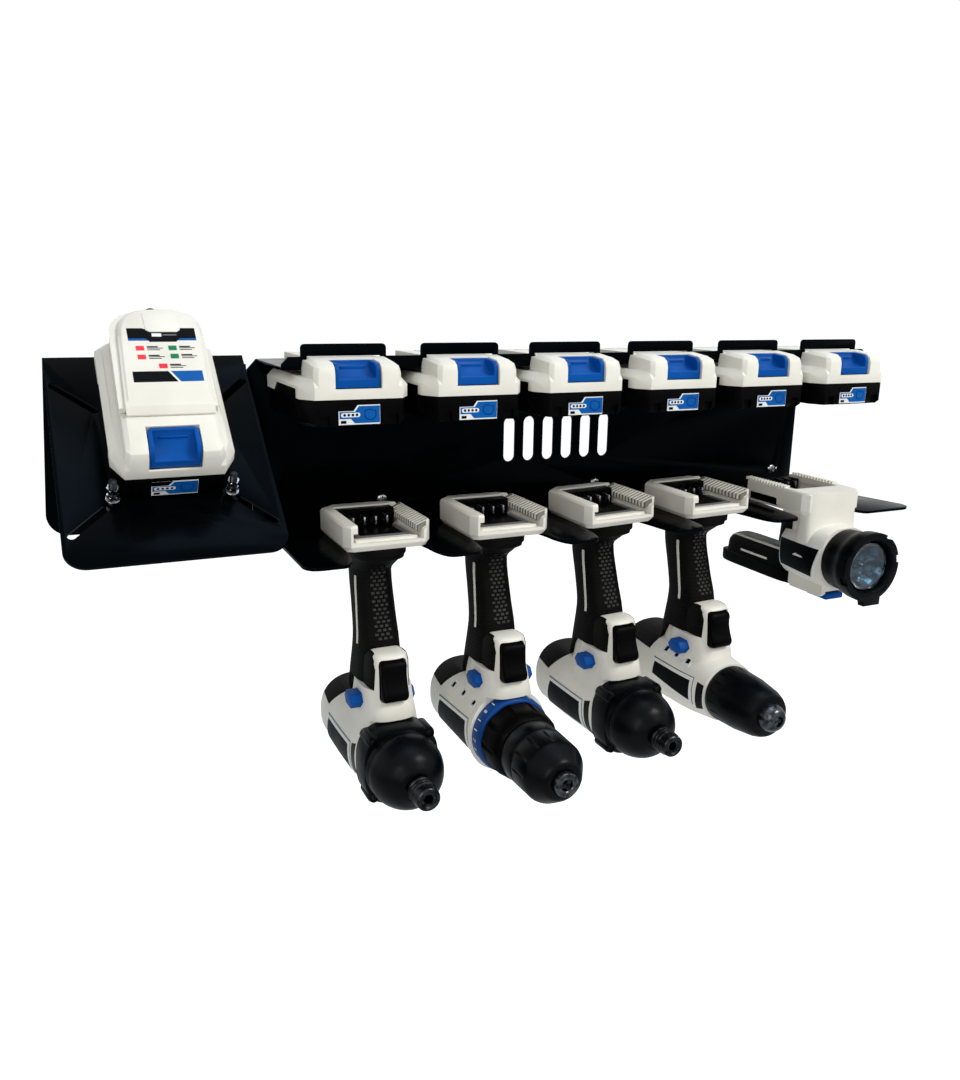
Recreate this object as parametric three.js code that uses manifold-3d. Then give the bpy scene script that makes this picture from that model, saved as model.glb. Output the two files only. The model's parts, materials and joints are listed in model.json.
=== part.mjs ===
// Wall rack for a set of cordless tools, with its battery packs, its charger on a sloped plate,
// four drivers and a work light. Millimetres, +Z up, X along the wall, -Y out into the room.
// The origin is on the wall, on the line of the wall screws, halfway along the rack.
import * as THREE from 'three';
import { mergeVertices } from 'three/addons/utils/BufferGeometryUtils.js';
import Module from 'manifold-3d';

const wasm = await Module();
wasm.setup();

// General sizes
const SHEET = 2.5;
const GAP = 0.3;
const SMOOTH = 0.15;
const ROUND_SIDES = 20;

// Rack: back panel, battery shelf above, tool shelf below
const PANEL_HALF = 267;
const PANEL_LEFT = -274.5;
const PANEL_TOP = 115.8;
const PANEL_BOTTOM = -17.8;
const LIP_FRONT = -85.7;
const LIP_TOP = PANEL_TOP + 6.7;
const TAB_TOP = PANEL_TOP + 15.4;
const TAB_HALF = 31.1;
const PANEL_SLOTS = { count: 6, middle: -3, pitch: 19, low: 24, high: 63, radius: 5.5 };
const TOOL_SLOT = { rear: -36, half: 25, waist: -70, neck: -108, neckHalf: 30.5, mouthHalf: 42 };
const TOOL_SHELF_TOP = PANEL_BOTTOM + SHEET;
const TOOL_SHELF_FRONT = -136;
const SHELF_FLARE = 292;
const SCREW_PITCH = 204.8;
const SCREW_START = -168;

// Battery packs, in their own frame: front face at y = 0, shelf surface at z = 0
const PACK_COUNT = 6;
const PACK_PITCH = 88.9;
const PACK_FRONT = -119.7;
const PACK = {
  length: 115.5, half: 38.8, lowerHalf: 37.6, frontHalf: 31, bottom: -38.2, seam: -20,
  deck: -6, railTop: 6, railHalf: 26, neckHalf: 23, railEnd: 105, hump: 33.7, ledge: 28.6,
};
const LATCH_HALF = 16;
const LATCH_RIM = 3.2;
const TOOTH_HALF = 13.2;
const REAR_SLOT_PITCH = 12;

// Charger, in the frame of the pack that it sits on
const CHARGER = { front: 34.1, rear: 125.5, half: 32, coverHalf: 31, roof: 6.6, seam: 9, top: 15.2 };

// Charger plate: an easel folded from sheet, its front plate sloping down from the top fold
const PLATE_X = -346.7;
const PLATE_HALF = 69.5;
const PLATE_FOLD = 117;
const PLATE_LENGTH = 181.5;
const PLATE_FLARE = 7.5;
const PLATE_SLOPE = THREE.MathUtils.degToRad(39.3);
const CHARGER_X = -344.8;
const CHARGED_FRONT = 130.5;
const CHARGED_HEIGHT = 1.4;
const BOLT_X = -345.6;
const BOLT_HALF = 37.6;
const BOLT_DOWN = 131.5;

// Tools: they hang by their battery feet, body axis along Y
const TOOL_PITCH = 99.16;
const BODY_AXIS = -175.5;
const DRILL_AXIS = -167;
const BODY_REAR = -6;
const FOOT = { rear: -33, front: -109.5, half: 33.2, top: 5, floor: -8.8, lip: 23.6, rail: 26.9 };
const SOCKET_REAR = -51;
const TRIGGER_HALF = 8.8;
const SELECTOR = { y: -92, z: -134, half: 10, height: 5.6, reach: 21.5, throw: 3 };

// Work light
const LIGHT_AXIS = -50.5;
const LIGHT_SHIFT = 0.8;
const BELL_FRONT = -184;

// Finishes, as seen on the object
const finish = (color, roughness, metalness = 0) =>
  new THREE.MeshStandardMaterial({ color, roughness, metalness });
const POWDER_COAT = finish(0x0b0c0e, 0.35);
const SHELL_WHITE = finish(0xd9d8d2, 0.45);
const CASE_BLACK = finish(0x141416, 0.5);
const RUBBER = finish(0x1b1b1d, 0.85);
const LATCH_BLUE = finish(0x1450b4, 0.4);
const STEEL = finish(0xb8bbc0, 0.3, 1);
const DARK_STEEL = finish(0x2b2d31, 0.35, 1);
const LENS_CLEAR = finish(0xcfdce6, 0.1);

// Solids: closed meshes for joining and cutting
function solid(geometry) {
  const bare = geometry.clone();
  bare.deleteAttribute('normal');
  bare.deleteAttribute('uv');
  const merged = mergeVertices(bare, 1e-4);
  const index = Uint32Array.from(merged.index.array);
  const places = Float32Array.from(merged.attributes.position.array);
  const made = new wasm.Manifold(new wasm.Mesh({ numProp: 3, vertProperties: places, triVerts: index }));
  return made.volume() < 0 ? solid(flipped(merged)) : made;
}

function flipped(geometry) {
  const index = geometry.index.array;
  for (let i = 0; i < index.length; i += 3) [index[i], index[i + 1]] = [index[i + 1], index[i]];
  return geometry;
}

function surface(body) {
  const mesh = body.asOriginal().simplify(SMOOTH).getMesh();
  const geometry = new THREE.BufferGeometry();
  geometry.setAttribute('position', new THREE.BufferAttribute(mesh.vertProperties, 3));
  geometry.setIndex(new THREE.BufferAttribute(mesh.triVerts, 1));
  return geometry;
}

const join = (...bodies) => bodies.reduce((whole, next) => whole.add(next));
const cut = (body, ...tools) => tools.reduce((rest, tool) => rest.subtract(tool), body);

function outline(points) {
  return new THREE.Shape(points.map(([x, y]) => new THREE.Vector2(x, y)));
}

function asShape(points) {
  return points instanceof THREE.Shape ? points : outline(points);
}

// A flat outline in X and Z, given thickness towards -Y from a back plane
function upright(points, thickness, back) {
  const geometry = new THREE.ExtrudeGeometry(asShape(points),
    { depth: thickness, bevelEnabled: false, curveSegments: 3 });
  geometry.rotateX(Math.PI / 2);
  geometry.translate(0, back, 0);
  return solid(geometry);
}

// A flat outline in X and Y, given thickness upwards from a floor
function slab(points, thickness, floor) {
  const geometry = new THREE.ExtrudeGeometry(asShape(points),
    { depth: thickness, bevelEnabled: false, curveSegments: 3 });
  geometry.translate(0, 0, floor);
  return solid(geometry);
}

// A side view in Y and Z, made as wide in X as asked, both ways from a middle
function across(points, halfWidth, middle = 0) {
  const geometry = new THREE.ExtrudeGeometry(asShape(points),
    { depth: 2 * halfWidth, bevelEnabled: false, curveSegments: 3 });
  const turn = new THREE.Matrix4().makeBasis(
    new THREE.Vector3(0, 1, 0), new THREE.Vector3(0, 0, 1), new THREE.Vector3(1, 0, 0));
  geometry.applyMatrix4(turn);
  geometry.translate(middle - halfWidth, 0, 0);
  return solid(geometry);
}

function block(low, high) {
  const size = high.map((value, i) => value - low[i]);
  const geometry = new THREE.BoxGeometry(...size);
  geometry.translate(...low.map((value, i) => value + size[i] / 2));
  return solid(geometry);
}

// A closed skin through rings of equal counts, capped at both ends
function loft(rings) {
  const count = rings[0].length;
  const places = rings.flat(2);
  const index = [];
  for (let r = 0; r + 1 < rings.length; r += 1) {
    for (let i = 0; i < count; i += 1) {
      const a = r * count + i;
      const b = r * count + (i + 1) % count;
      index.push(a, b, b + count, a, b + count, a + count);
    }
  }
  const last = (rings.length - 1) * count;
  for (let i = 1; i + 1 < count; i += 1) {
    index.push(0, i + 1, i, last, last + i, last + i + 1);
  }
  const geometry = new THREE.BufferGeometry();
  geometry.setAttribute('position', new THREE.Float32BufferAttribute(places, 3));
  geometry.setIndex(index);
  return solid(geometry);
}

// Points round a rounded rectangle or an ellipse: power 2 is an ellipse, more is squarer
function roundish(halfA, halfB, power, sides) {
  const points = [];
  for (let i = 0; i < sides; i += 1) {
    const angle = 2 * Math.PI * (i + 0.5) / sides;
    const [c, s] = [Math.cos(angle), Math.sin(angle)];
    points.push([
      Math.sign(c) * halfA * Math.abs(c) ** (2 / power),
      Math.sign(s) * halfB * Math.abs(s) ** (2 / power),
    ]);
  }
  return points;
}

// A form stacked upwards: each level is [z, middle y, half length in y, half width in x]
function tower(levels, power = 2.6, sides = 16, grow = 0) {
  return loft(levels.map(([z, y, halfY, halfX]) =>
    roundish(halfX + grow, halfY + grow, power, sides).map(([a, b]) => [a, y + b, z])));
}

// A form lying along Y: each station is [y, half width in x, half height in z]
function barrel(stations, axis, power = 2.2, sides = ROUND_SIDES, grow = 0) {
  return loft(stations.map(([y, halfX, halfZ]) =>
    roundish(halfX + grow, halfZ + grow, power, sides).map(([a, b]) => [a, y, axis + b])));
}

// A turned piece round an axis along Y: its profile is a list of [y, radius]
function turned(profile, axis, sides = ROUND_SIDES) {
  const closed = [[profile[0][0], 0], ...profile, [profile[profile.length - 1][0], 0]];
  const geometry = new THREE.LatheGeometry(closed.map(([y, r]) => new THREE.Vector2(r, y)), sides);
  geometry.translate(0, 0, axis);
  return solid(geometry);
}

function rod(radius, from, to, axis = 0, sides = 12) {
  return turned([[from, radius], [to, radius]], axis, sides);
}

const part = new THREE.Group();

function place(name, body, material, group = part) {
  const mesh = new THREE.Mesh(surface(body), material);
  mesh.name = name;
  group.add(mesh);
}

function groupAt(x, y, z) {
  const group = new THREE.Group();
  group.position.set(x, y, z);
  part.add(group);
  return group;
}

// Rack
const packX = (i) => PACK_PITCH * (i - (PACK_COUNT - 1) / 2);
const toolX = (k) => TOOL_PITCH * (k - 2);
const screwX = (i) => SCREW_START + SCREW_PITCH * i;

function circleHole(x, z, radius) {
  const hole = new THREE.Path();
  hole.absarc(x, z, radius, 0, 2 * Math.PI, true);
  return hole;
}

// A slot with round ends, standing upright
function slotHole(x, low, high, radius) {
  const hole = new THREE.Path();
  hole.moveTo(x + radius, low + radius);
  hole.absarc(x, low + radius, radius, 0, Math.PI, true);
  hole.absarc(x, high - radius, radius, Math.PI, 0, true);
  hole.closePath();
  return hole;
}

function backPanel() {
  const corner = 5;
  const leftDrop = 8;
  const spareHoleOffset = 8.5;
  const shape = outline([
    [PANEL_LEFT, PANEL_BOTTOM], [PANEL_HALF, PANEL_BOTTOM], [PANEL_HALF, PANEL_TOP - corner],
    [PANEL_HALF - corner, PANEL_TOP], [-PANEL_HALF, PANEL_TOP], [PANEL_LEFT, PANEL_TOP - leftDrop],
  ]);
  for (let i = 0; i < 3; i += 1) shape.holes.push(circleHole(screwX(i), 0, 2.6));
  shape.holes.push(circleHole(screwX(2) + spareHoleOffset, 0, 1.6));
  const { count, middle, pitch, low, high, radius } = PANEL_SLOTS;
  for (let i = 0; i < count; i += 1) {
    shape.holes.push(slotHole(middle + pitch * (i - (count - 1) / 2), low, high, radius));
  }
  return upright(shape, SHEET, 0);
}

// Front lip of the battery shelf, with a raised stop tab over each pack
function lipOutline() {
  const points = [[PANEL_HALF, PANEL_TOP - SHEET], [PANEL_HALF, LIP_TOP - 5], [PANEL_HALF - 5, LIP_TOP]];
  for (let i = PACK_COUNT - 1; i >= 0; i -= 1) {
    const right = packX(i) + TAB_HALF;
    const left = packX(i) - TAB_HALF;
    points.push([right, LIP_TOP], [right, TAB_TOP - 3], [right - 3, TAB_TOP]);
    points.push([left + 3, TAB_TOP], [left, TAB_TOP - 3], [left, LIP_TOP]);
  }
  points.push([5 - PANEL_HALF, LIP_TOP], [-PANEL_HALF, LIP_TOP - 5], [-PANEL_HALF, PANEL_TOP - SHEET]);
  return points;
}

function batteryShelf() {
  const rear = -SHEET - GAP;
  const slotHalf = PACK.neckHalf + 1.3;
  const archHalf = PACK.railHalf + 0.8;
  const slotRear = PACK_FRONT + PACK.railEnd + 1;
  const sheet = block([-PANEL_HALF, LIP_FRONT, PANEL_TOP - SHEET], [PANEL_HALF, rear, PANEL_TOP]);
  const lip = upright(lipOutline(), SHEET, LIP_FRONT + SHEET);
  let shelf = join(sheet, lip);
  for (let i = 0; i < PACK_COUNT; i += 1) {
    const x = packX(i);
    const slot = block([x - slotHalf, LIP_FRONT - 1, PANEL_TOP - SHEET - 1],
      [x + slotHalf, slotRear, PANEL_TOP + 1]);
    const arch = block([x - archHalf, LIP_FRONT - 1, PANEL_TOP],
      [x + archHalf, LIP_FRONT + SHEET + 1, PANEL_TOP + 7]);
    shelf = cut(shelf, slot, arch);
  }
  return shelf;
}

// Slot for a tool's neck: straight at the rear, flaring to a rounded mouth at the front
function toolSlot(shape, x) {
  const { rear, half, waist, neck, neckHalf, mouthHalf } = TOOL_SLOT;
  const corner = 8;
  const bend = neckHalf + 1.5;
  shape.lineTo(x - mouthHalf, TOOL_SHELF_FRONT);
  shape.quadraticCurveTo(x - bend, TOOL_SHELF_FRONT, x - neckHalf, neck);
  shape.lineTo(x - half, waist);
  shape.lineTo(x - half, rear - corner);
  shape.lineTo(x - half + corner, rear);
  shape.lineTo(x + half - corner, rear);
  shape.lineTo(x + half, rear - corner);
  shape.lineTo(x + half, waist);
  shape.lineTo(x + neckHalf, neck);
  shape.quadraticCurveTo(x + bend, TOOL_SHELF_FRONT, x + mouthHalf, TOOL_SHELF_FRONT);
}

function toolShelf() {
  const rear = -SHEET - GAP;
  const corner = 13;
  const shape = new THREE.Shape();
  shape.moveTo(-PANEL_HALF, rear);
  shape.lineTo(-PANEL_HALF, TOOL_SHELF_FRONT + corner);
  shape.quadraticCurveTo(-PANEL_HALF, TOOL_SHELF_FRONT, corner - PANEL_HALF, TOOL_SHELF_FRONT);
  for (let k = 0; k < 5; k += 1) toolSlot(shape, toolX(k));
  shape.lineTo(SHELF_FLARE - corner, TOOL_SHELF_FRONT);
  shape.quadraticCurveTo(SHELF_FLARE, TOOL_SHELF_FRONT, SHELF_FLARE, TOOL_SHELF_FRONT + corner);
  shape.lineTo(PANEL_HALF, rear);
  return slab(shape, SHEET, PANEL_BOTTOM);
}

// Pan-head wall screw with a pointed shank that runs on into the wall
function wallScrew() {
  const face = -SHEET - GAP;
  const head = [[face, 4.6], [face - 1.4, 4.4], [face - 2.4, 2.8]];
  return turned([[22, 0.2], [17, 2], [face, 2], ...head], 0, 12);
}

function makeRack() {
  place('back_panel', backPanel(), POWDER_COAT);
  place('battery_shelf', batteryShelf(), POWDER_COAT);
  place('tool_shelf', toolShelf(), POWDER_COAT);
  for (let i = 0; i < 3; i += 1) {
    place(`wall_screw_${i + 1}`, wallScrew(), STEEL, groupAt(screwX(i), 0, 0));
  }
}

// Charger plate. Its sloped frame has y up the slope from the fold and z out of the plate.
function slopedGroup(x) {
  const group = groupAt(x, -SHEET, PLATE_FOLD);
  group.rotation.x = PLATE_SLOPE;
  return group;
}

function diagonalSlot(fromX, fromS, toX, toS, radius) {
  const angle = Math.atan2(fromS - toS, toX - fromX);
  const hole = new THREE.Path();
  hole.absarc(toX, -toS, radius, angle + Math.PI / 2, angle - Math.PI / 2, true);
  hole.absarc(fromX, -fromS, radius, angle - Math.PI / 2, angle - 3 * Math.PI / 2, true);
  hole.closePath();
  return hole;
}

// A sheet with rounded lower corners; its left edge may flare outwards on the way down
function roundFooted(half, top, bottom, radius, flare = 0) {
  const shape = new THREE.Shape();
  shape.moveTo(half, top);
  shape.lineTo(-half, top);
  shape.lineTo(-half - flare, bottom + radius);
  shape.absarc(radius - half - flare, bottom + radius, radius, Math.PI, 1.5 * Math.PI, false);
  shape.absarc(half - radius, bottom + radius, radius, 1.5 * Math.PI, 2 * Math.PI, false);
  return shape;
}

function chargerPlate() {
  const front = roundFooted(PLATE_HALF, 2, -PLATE_LENGTH, 14);
  for (const side of [-1, 1]) {
    front.holes.push(diagonalSlot(side * 40, 50, side * 64.5, 25.5, 2.9));
    front.holes.push(diagonalSlot(BOLT_X - PLATE_X + side * BOLT_HALF, BOLT_DOWN, side * 63, 156, 2.9));
  }
  const slope = slab(front, SHEET, -SHEET).rotate([THREE.MathUtils.radToDeg(PLATE_SLOPE), 0, 0])
    .translate([0, -SHEET, PLATE_FOLD]);
  const wall = upright(roundFooted(PLATE_HALF, PLATE_FOLD, -10, 16, PLATE_FLARE), SHEET, 0);
  const fold = across([[0, PLATE_FOLD - 4], [0, PLATE_FOLD + 0.6], [-0.5, PLATE_FOLD + 1.6],
    [-SHEET, PLATE_FOLD], [-SHEET, PLATE_FOLD - 4]], PLATE_HALF);
  return cut(join(slope, wall, fold), block([-80, -GAP / 100, PLATE_FOLD], [80, 6, PLATE_FOLD + 9]));
}

// Bolt standing on the plate with a nut and washer clamping it and a stop nut on its end.
// Its axis is along Y here and is turned to stand out of the plate.
function stopBolt() {
  const shank = turned([[-6.2, 4.2], [-2.9, 4.2], [-2.9, 2.4], [19.5, 2.4], [20.5, 1.6]], 0, 8);
  const washer = rod(5, 0.3, 1.3, 0, 10);
  const nut = rod(4.5, 1.3, 5, 0, 6);
  const stopNut = rod(4.5, 13, 17.5, 0, 6);
  return join(shank, washer, nut, stopNut);
}

// Packs
function packOutline(half, frontHalf, inset) {
  const rear = PACK.length - inset;
  const chamfer = 12;
  const side = half - inset;
  return [
    [-frontHalf, inset], [frontHalf, inset], [side, chamfer + inset], [side, rear - 7],
    [side - 8, rear], [8 - side, rear], [-side, rear - 7], [-side, chamfer + inset],
  ];
}

function stacked(levels) {
  return loft(levels.map(([z, points]) => points.map(([x, y]) => [x, y, z])));
}

const sidePanel = (side, grow) => across([
  [21 - grow, PACK.bottom + 8], [21 - grow, PACK.seam + 6 + grow], [78 + grow, PACK.seam + 6 + grow],
  [86 + grow, PACK.seam + grow], [86 + grow, PACK.bottom + 8],
], 2.4 + grow, side * (PACK.half - 2.7));

function lowerCase() {
  const { lowerHalf: half, frontHalf: front, bottom, seam } = PACK;
  const shell = stacked([
    [bottom, packOutline(half, front - 2, 2.5)],
    [bottom + 2.5, packOutline(half, front, 0.2)],
    [seam - GAP, packOutline(half, front, 0.2)],
  ]);
  return join(shell, sidePanel(-1, 0), sidePanel(1, 0));
}

// Raised front of the pack that stops on the shelf's lip; its top falls slightly to the front
function hump() {
  const ring = (halfX, front, height, rise) => {
    const corner = 3;
    const points = [
      [-halfX + corner, front], [halfX - corner, front], [halfX, front + corner],
      [halfX, PACK.hump], [-halfX, PACK.hump], [-halfX, front + corner],
    ];
    return points.map(([x, y]) => [x, y, height + rise * y / PACK.hump]);
  };
  return loft([
    ring(31, 0, PACK.seam, 0), ring(31, 0, -3, 2), ring(30, 1.6, 1.4, 3), ring(27, 6, 3.6, 3.6),
  ]);
}

function latchPocket() {
  const half = LATCH_HALF + 0.5;
  const room = block([-half, 1.5, -18.6], [half, 16, 20]);
  const window = block([-half, -5, -14.2], [half, 1.6, 20]);
  const link = block([-TOOTH_HALF - 0.5, 15.9, -5], [TOOTH_HALF + 0.5, PACK.hump + 1, 4.2]);
  const ledge = block([-40, PACK.ledge, 4.6], [40, PACK.hump + 1, 20]);
  const toothGap = block([-TOOTH_HALF - 0.5, PACK.ledge, 0], [TOOTH_HALF + 0.5, PACK.hump + 1, 20]);
  return [room, window, link, ledge, toothGap];
}

function upperCase() {
  const { half, frontHalf: front, seam, deck, railTop, railHalf, neckHalf, railEnd } = PACK;
  const shell = stacked([
    [seam, packOutline(half, front, 0)],
    [deck - 5.5, packOutline(half, front, 0)],
    [deck, packOutline(half, front, 4)],
  ]);
  const neck = block([-neckHalf, PACK.hump - 3, deck - 2], [neckHalf, railEnd, GAP + 1]);
  const rail = block([-railHalf, PACK.hump - 3, GAP], [railHalf, railEnd, railTop]);
  let body = cut(join(shell, neck, rail, hump()), ...latchPocket(), sidePanel(-1, GAP), sidePanel(1, GAP));
  for (let i = 0; i < 3; i += 1) {
    const x = REAR_SLOT_PITCH * (i - 1);
    body = cut(body, block([x - 1.6, railEnd - 20, 1.6], [x + 1.6, railEnd + 1, railTop + 1]));
  }
  return body;
}

// Latch: a scooped thumb button, a link under the hump's bridge and a tooth behind it
function latch() {
  const outer = [[1.9, -14], [15.4, -14], [15.4, 4.6], [6, 3.6], [2.8, 1], [1.9, -2.5]];
  const scoop = new THREE.Shape();
  scoop.moveTo(4, 12);
  scoop.lineTo(14.6, 12);
  scoop.lineTo(14.6, 3);
  scoop.quadraticCurveTo(12, -5.4, 0, -6.6);
  scoop.lineTo(0, 12);
  const button = cut(across(outer, LATCH_HALF), across(scoop, LATCH_HALF - LATCH_RIM));
  const link = [[14, 0.6], [32.6, 0.6], [32.6, 5.9], [29.2, 5.9], [29.2, 3.7], [14, 3.7]];
  return join(button, across(link, TOOTH_HALF));
}

function makePack(name, group) {
  place(`${name}_lower_case`, lowerCase(), CASE_BLACK, group);
  place(`${name}_upper_case`, upperCase(), SHELL_WHITE, group);
  place(`${name}_latch`, latch(), LATCH_BLUE, group);
}

// The charger slides on the pack's rails like a tool's foot.
// Outline of the charger seen from above: square at its open front, rounded at the rear
function chargerPlan(side, low, high) {
  return [
    [-side, low], [side, low], [side, high - 26], [side - 2.5, high - 15], [side - 9, high - 6],
    [side - 18, high], [18 - side, high], [9 - side, high - 6], [2.5 - side, high - 15], [-side, high - 26],
  ];
}

function chargerBase() {
  const { front, rear, half, roof, seam } = CHARGER;
  const { neckHalf, railHalf, railEnd, deck } = PACK;
  const body = stacked([[deck + 0.5, chargerPlan(half, front, rear)], [seam, chargerPlan(half, front, rear)]]);
  const wall = stacked([
    [-30, roundish(half - 12, 3.6, 3, 10).map(([x, y]) => [x, y + rear - 4])],
    [deck + 1, roundish(half - 6, 3.8, 3, 10).map(([x, y]) => [x, y + rear - 4])],
  ]);
  const groove = block([-neckHalf - 0.7, front - 1, deck], [neckHalf + 0.7, railEnd + 0.5, 1]);
  const channel = block([-railHalf - 0.7, front - 1, 0], [railHalf + 0.7, railEnd + 0.5, roof]);
  const gland = rod(4.4, rear - 2, rear + 5, 2, 10);
  return join(cut(body, groove, channel), wall, gland);
}

// The cover's top falls a little towards its open front.
function chargerCover() {
  const { front, rear, coverHalf: half, seam, top } = CHARGER;
  const fall = 3.2;
  const drop = (y) => fall * (rear - y) / (rear - front);
  const level = (z, [side, low, high], falls) =>
    chargerPlan(side, low, high).map(([x, y]) => [x, y, falls ? z - drop(y) : z]);
  return loft([
    level(seam + GAP, [half, front, rear - 0.5], false),
    level(seam + 2.5, [half - 0.3, front + 0.6, rear - 1], false),
    level(top - 1.4, [half - 1.8, front + 2.6, rear - 4], true),
    level(top, [half - 3.2, front + 5, rear - 7], true),
  ]);
}

function makeChargingCorner() {
  place('charger_plate', chargerPlate(), POWDER_COAT, groupAt(PLATE_X, 0, 0));
  for (const [name, side] of [['left', -1], ['right', 1]]) {
    const bolt = stopBolt().rotate([90, 0, 0]).translate([side * BOLT_HALF, -BOLT_DOWN, 0]);
    place(`stop_bolt_${name}`, bolt, STEEL, slopedGroup(BOLT_X));
  }
  const sloped = slopedGroup(CHARGER_X);
  const pack = new THREE.Group();
  pack.position.set(0, -CHARGED_FRONT, CHARGED_HEIGHT - PACK.bottom);
  sloped.add(pack);
  makePack('charging_pack', pack);
  place('charger_base', chargerBase(), SHELL_WHITE, pack);
  place('charger_cover', chargerCover(), SHELL_WHITE, pack);
}

// Battery foot of a tool: an open-topped socket with undercut rails, its pack slid in from one end
function footShell({ rear, front, half, top }) {
  const plan = (inset) => [
    [-half + inset, rear - 11], [11 - half + inset, rear - inset], [half - 11 - inset, rear - inset],
    [half - inset, rear - 11], [half - inset, front + 6], [half - 4.5 - inset, front + inset],
    [4.5 - half + inset, front + inset], [-half + inset, front + 6],
  ];
  return stacked([[-15, plan(3)], [-11, plan(0)], [top - 1.6, plan(0)], [top, plan(1.2)]]);
}

function footSocket(low, high) {
  const { lip, rail, floor } = FOOT;
  return [block([-lip, low, floor], [lip, high, 12]), block([-rail, low, floor], [rail, high, -1])];
}

// Levels of the handle: [z, middle y, half length, half width]
const HANDLE = [
  [-15.3, -76, 30.5, 20.8], [-24, -76, 30, 20.2], [-28, -71, 25, 18], [-40, -62, 19.8, 15.2],
  [-70, -69, 20, 15.6], [-95, -75, 22, 16.6], [-130, -75, 28, 19.5], [-156, -70, 30, 21],
];

// White core inside the grip's rubber, from the foot down into the body
const CORE = [[-11, -66, 16, 13], [-40, -62, 16, 12], [-95, -75, 18, 13], [-156, -70, 26, 17]];

function handleCore(grow) {
  return tower(CORE, 2.6, 10, grow);
}

// Guard round the trigger and the neck that carries the direction selector
const GUARD = [
  [-94.5, -103, 5, 7], [-97, -102, 12, 11.5], [-102, -99.5, 17, 13.6], [-112, -97.5, 20, 14.4],
  [-128, -96, 22, 16], [-158, -92, 25, 18],
];
const SHOULDER = [[-122, -90, 24, 19.4], [-134, -91, 29, 20], [-146, -90, 31, 22.5], [-160, -88, 31, 25]];

function guardForm(grow) {
  return join(tower(GUARD, 2.8, 12, grow), tower(SHOULDER, 3, 12, grow));
}

// Soft rear of the body: the grip's rubber runs on over it
const REAR_COVER = [[10, -171], [-27, -167], [-58, -149], [-66, -122], [-95, -122], [-95, -90], [10, -90]];
const FRONT_NECK = [[-66, -122], [-140, -122], [-140, -170], [-27, -167], [-58, -149]];

function bodyForm(kind, grow = 0) {
  return barrel(kind.body, kind.axis, 2.3, ROUND_SIDES, grow);
}

function selectorForm(halfWidth, grow, middle = 0) {
  const { y, z, half, height } = SELECTOR;
  const flat = half - 4;
  const points = [[-half, 0], [-flat, -height], [flat, -height], [half, 0], [flat, height], [-flat, height]];
  const grown = points.map(([a, b]) => [y + a * (1 + grow / half), z + b * (1 + grow / height)]);
  return across(grown, halfWidth, middle);
}

// Trigger; its lower rear corner is cut off so that it clears the selector when pulled.
function triggerForm() {
  const shape = new THREE.Shape();
  shape.moveTo(-104, -98.6);
  shape.lineTo(-104, -126);
  shape.lineTo(-110, -130);
  shape.lineTo(-119, -130);
  shape.quadraticCurveTo(-125, -129, -124, -123);
  shape.quadraticCurveTo(-117.5, -111, -119.5, -104);
  shape.quadraticCurveTo(-119, -98.6, -113, -98.6);
  return across(shape, TRIGGER_HALF);
}

// Air slots high on both sides of the body
function ventCuts(middles) {
  const slot = (side, y) => block([side * 27 - 5, y - 2.5, -157.5], [side * 27 + 5, y + 2.5, -154.5]);
  return middles.flatMap((y) => [slot(-1, y), slot(1, y)]);
}

function housing(kind) {
  const body = cut(bodyForm(kind), across(REAR_COVER.map(([y, z]) => [y, z - GAP]), 40));
  const foot = cut(footShell(FOOT), ...footSocket(FOOT.front - 9, SOCKET_REAR));
  const whole = join(body, guardForm(0), handleCore(0), foot);
  const roomHalf = TRIGGER_HALF + 0.6;
  const triggerRoom = block([-roomHalf, -140, -130.5], [roomHalf, -95.5, -98]);
  const nose = block([-40, -160, -215], [40, kind.noseFace, kind.axis + kind.noseRadius + 0.5]);
  return cut(whole, triggerRoom, selectorForm(40, 0.5), nose, ...ventCuts(kind.vents));
}

function grip(kind) {
  const sleeve = cut(tower(HANDLE, 2.6, 14), across(FRONT_NECK, 40));
  const clear = cut(bodyForm(kind, GAP), across(REAR_COVER, 40));
  const rear = bodyForm(kind).intersect(across(REAR_COVER, 40));
  return cut(join(cut(sleeve, clear), rear), handleCore(GAP), guardForm(GAP), selectorForm(40, 0.5));
}

// Body stations: [y, half width, half height]
const REAR_STATIONS = [[BODY_REAR, 21, 22], [-9, 27, 28], [-14, 29.4, 30.2], [-60, 30, 30.8]];
const IMPACT_BODY = [...REAR_STATIONS, [-113.5, 29, 29.8]];
const HAMMER_BODY = [...REAR_STATIONS, [-98, 30.4, 31], [-105, 33, 33], [-109.5, 33.4, 33.4]];
const DRILL_BODY = [...REAR_STATIONS, [-95, 29.4, 30], [-133, 25.6, 25.6]];

// Nose cover of the impact drivers: a square flange with a screw boss at each corner, then a dome
const BOSS = 22;

function noseCover() {
  const flange = barrel([[-113.8, 29.8, 30.2], [-133, 29, 29.4]], BODY_AXIS, 2.9, 16);
  const dome = turned([[-130, 29], [-144, 28.4], [-153, 26], [-162, 20.4], [-168, 11.5]], BODY_AXIS, 18);
  let cover = join(flange, dome);
  for (const sx of [-1, 1]) {
    for (const sz of [-1, 1]) {
      const boss = turned([[-114, 4.6], [-131, 4.6], [-134, 3.4]], BODY_AXIS + sz * BOSS, 6);
      cover = join(cover, boss.translate([sx * BOSS, 0, 0]));
    }
  }
  return cut(cover, rod(8.2, -172, -150, BODY_AXIS, 12));
}

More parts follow.
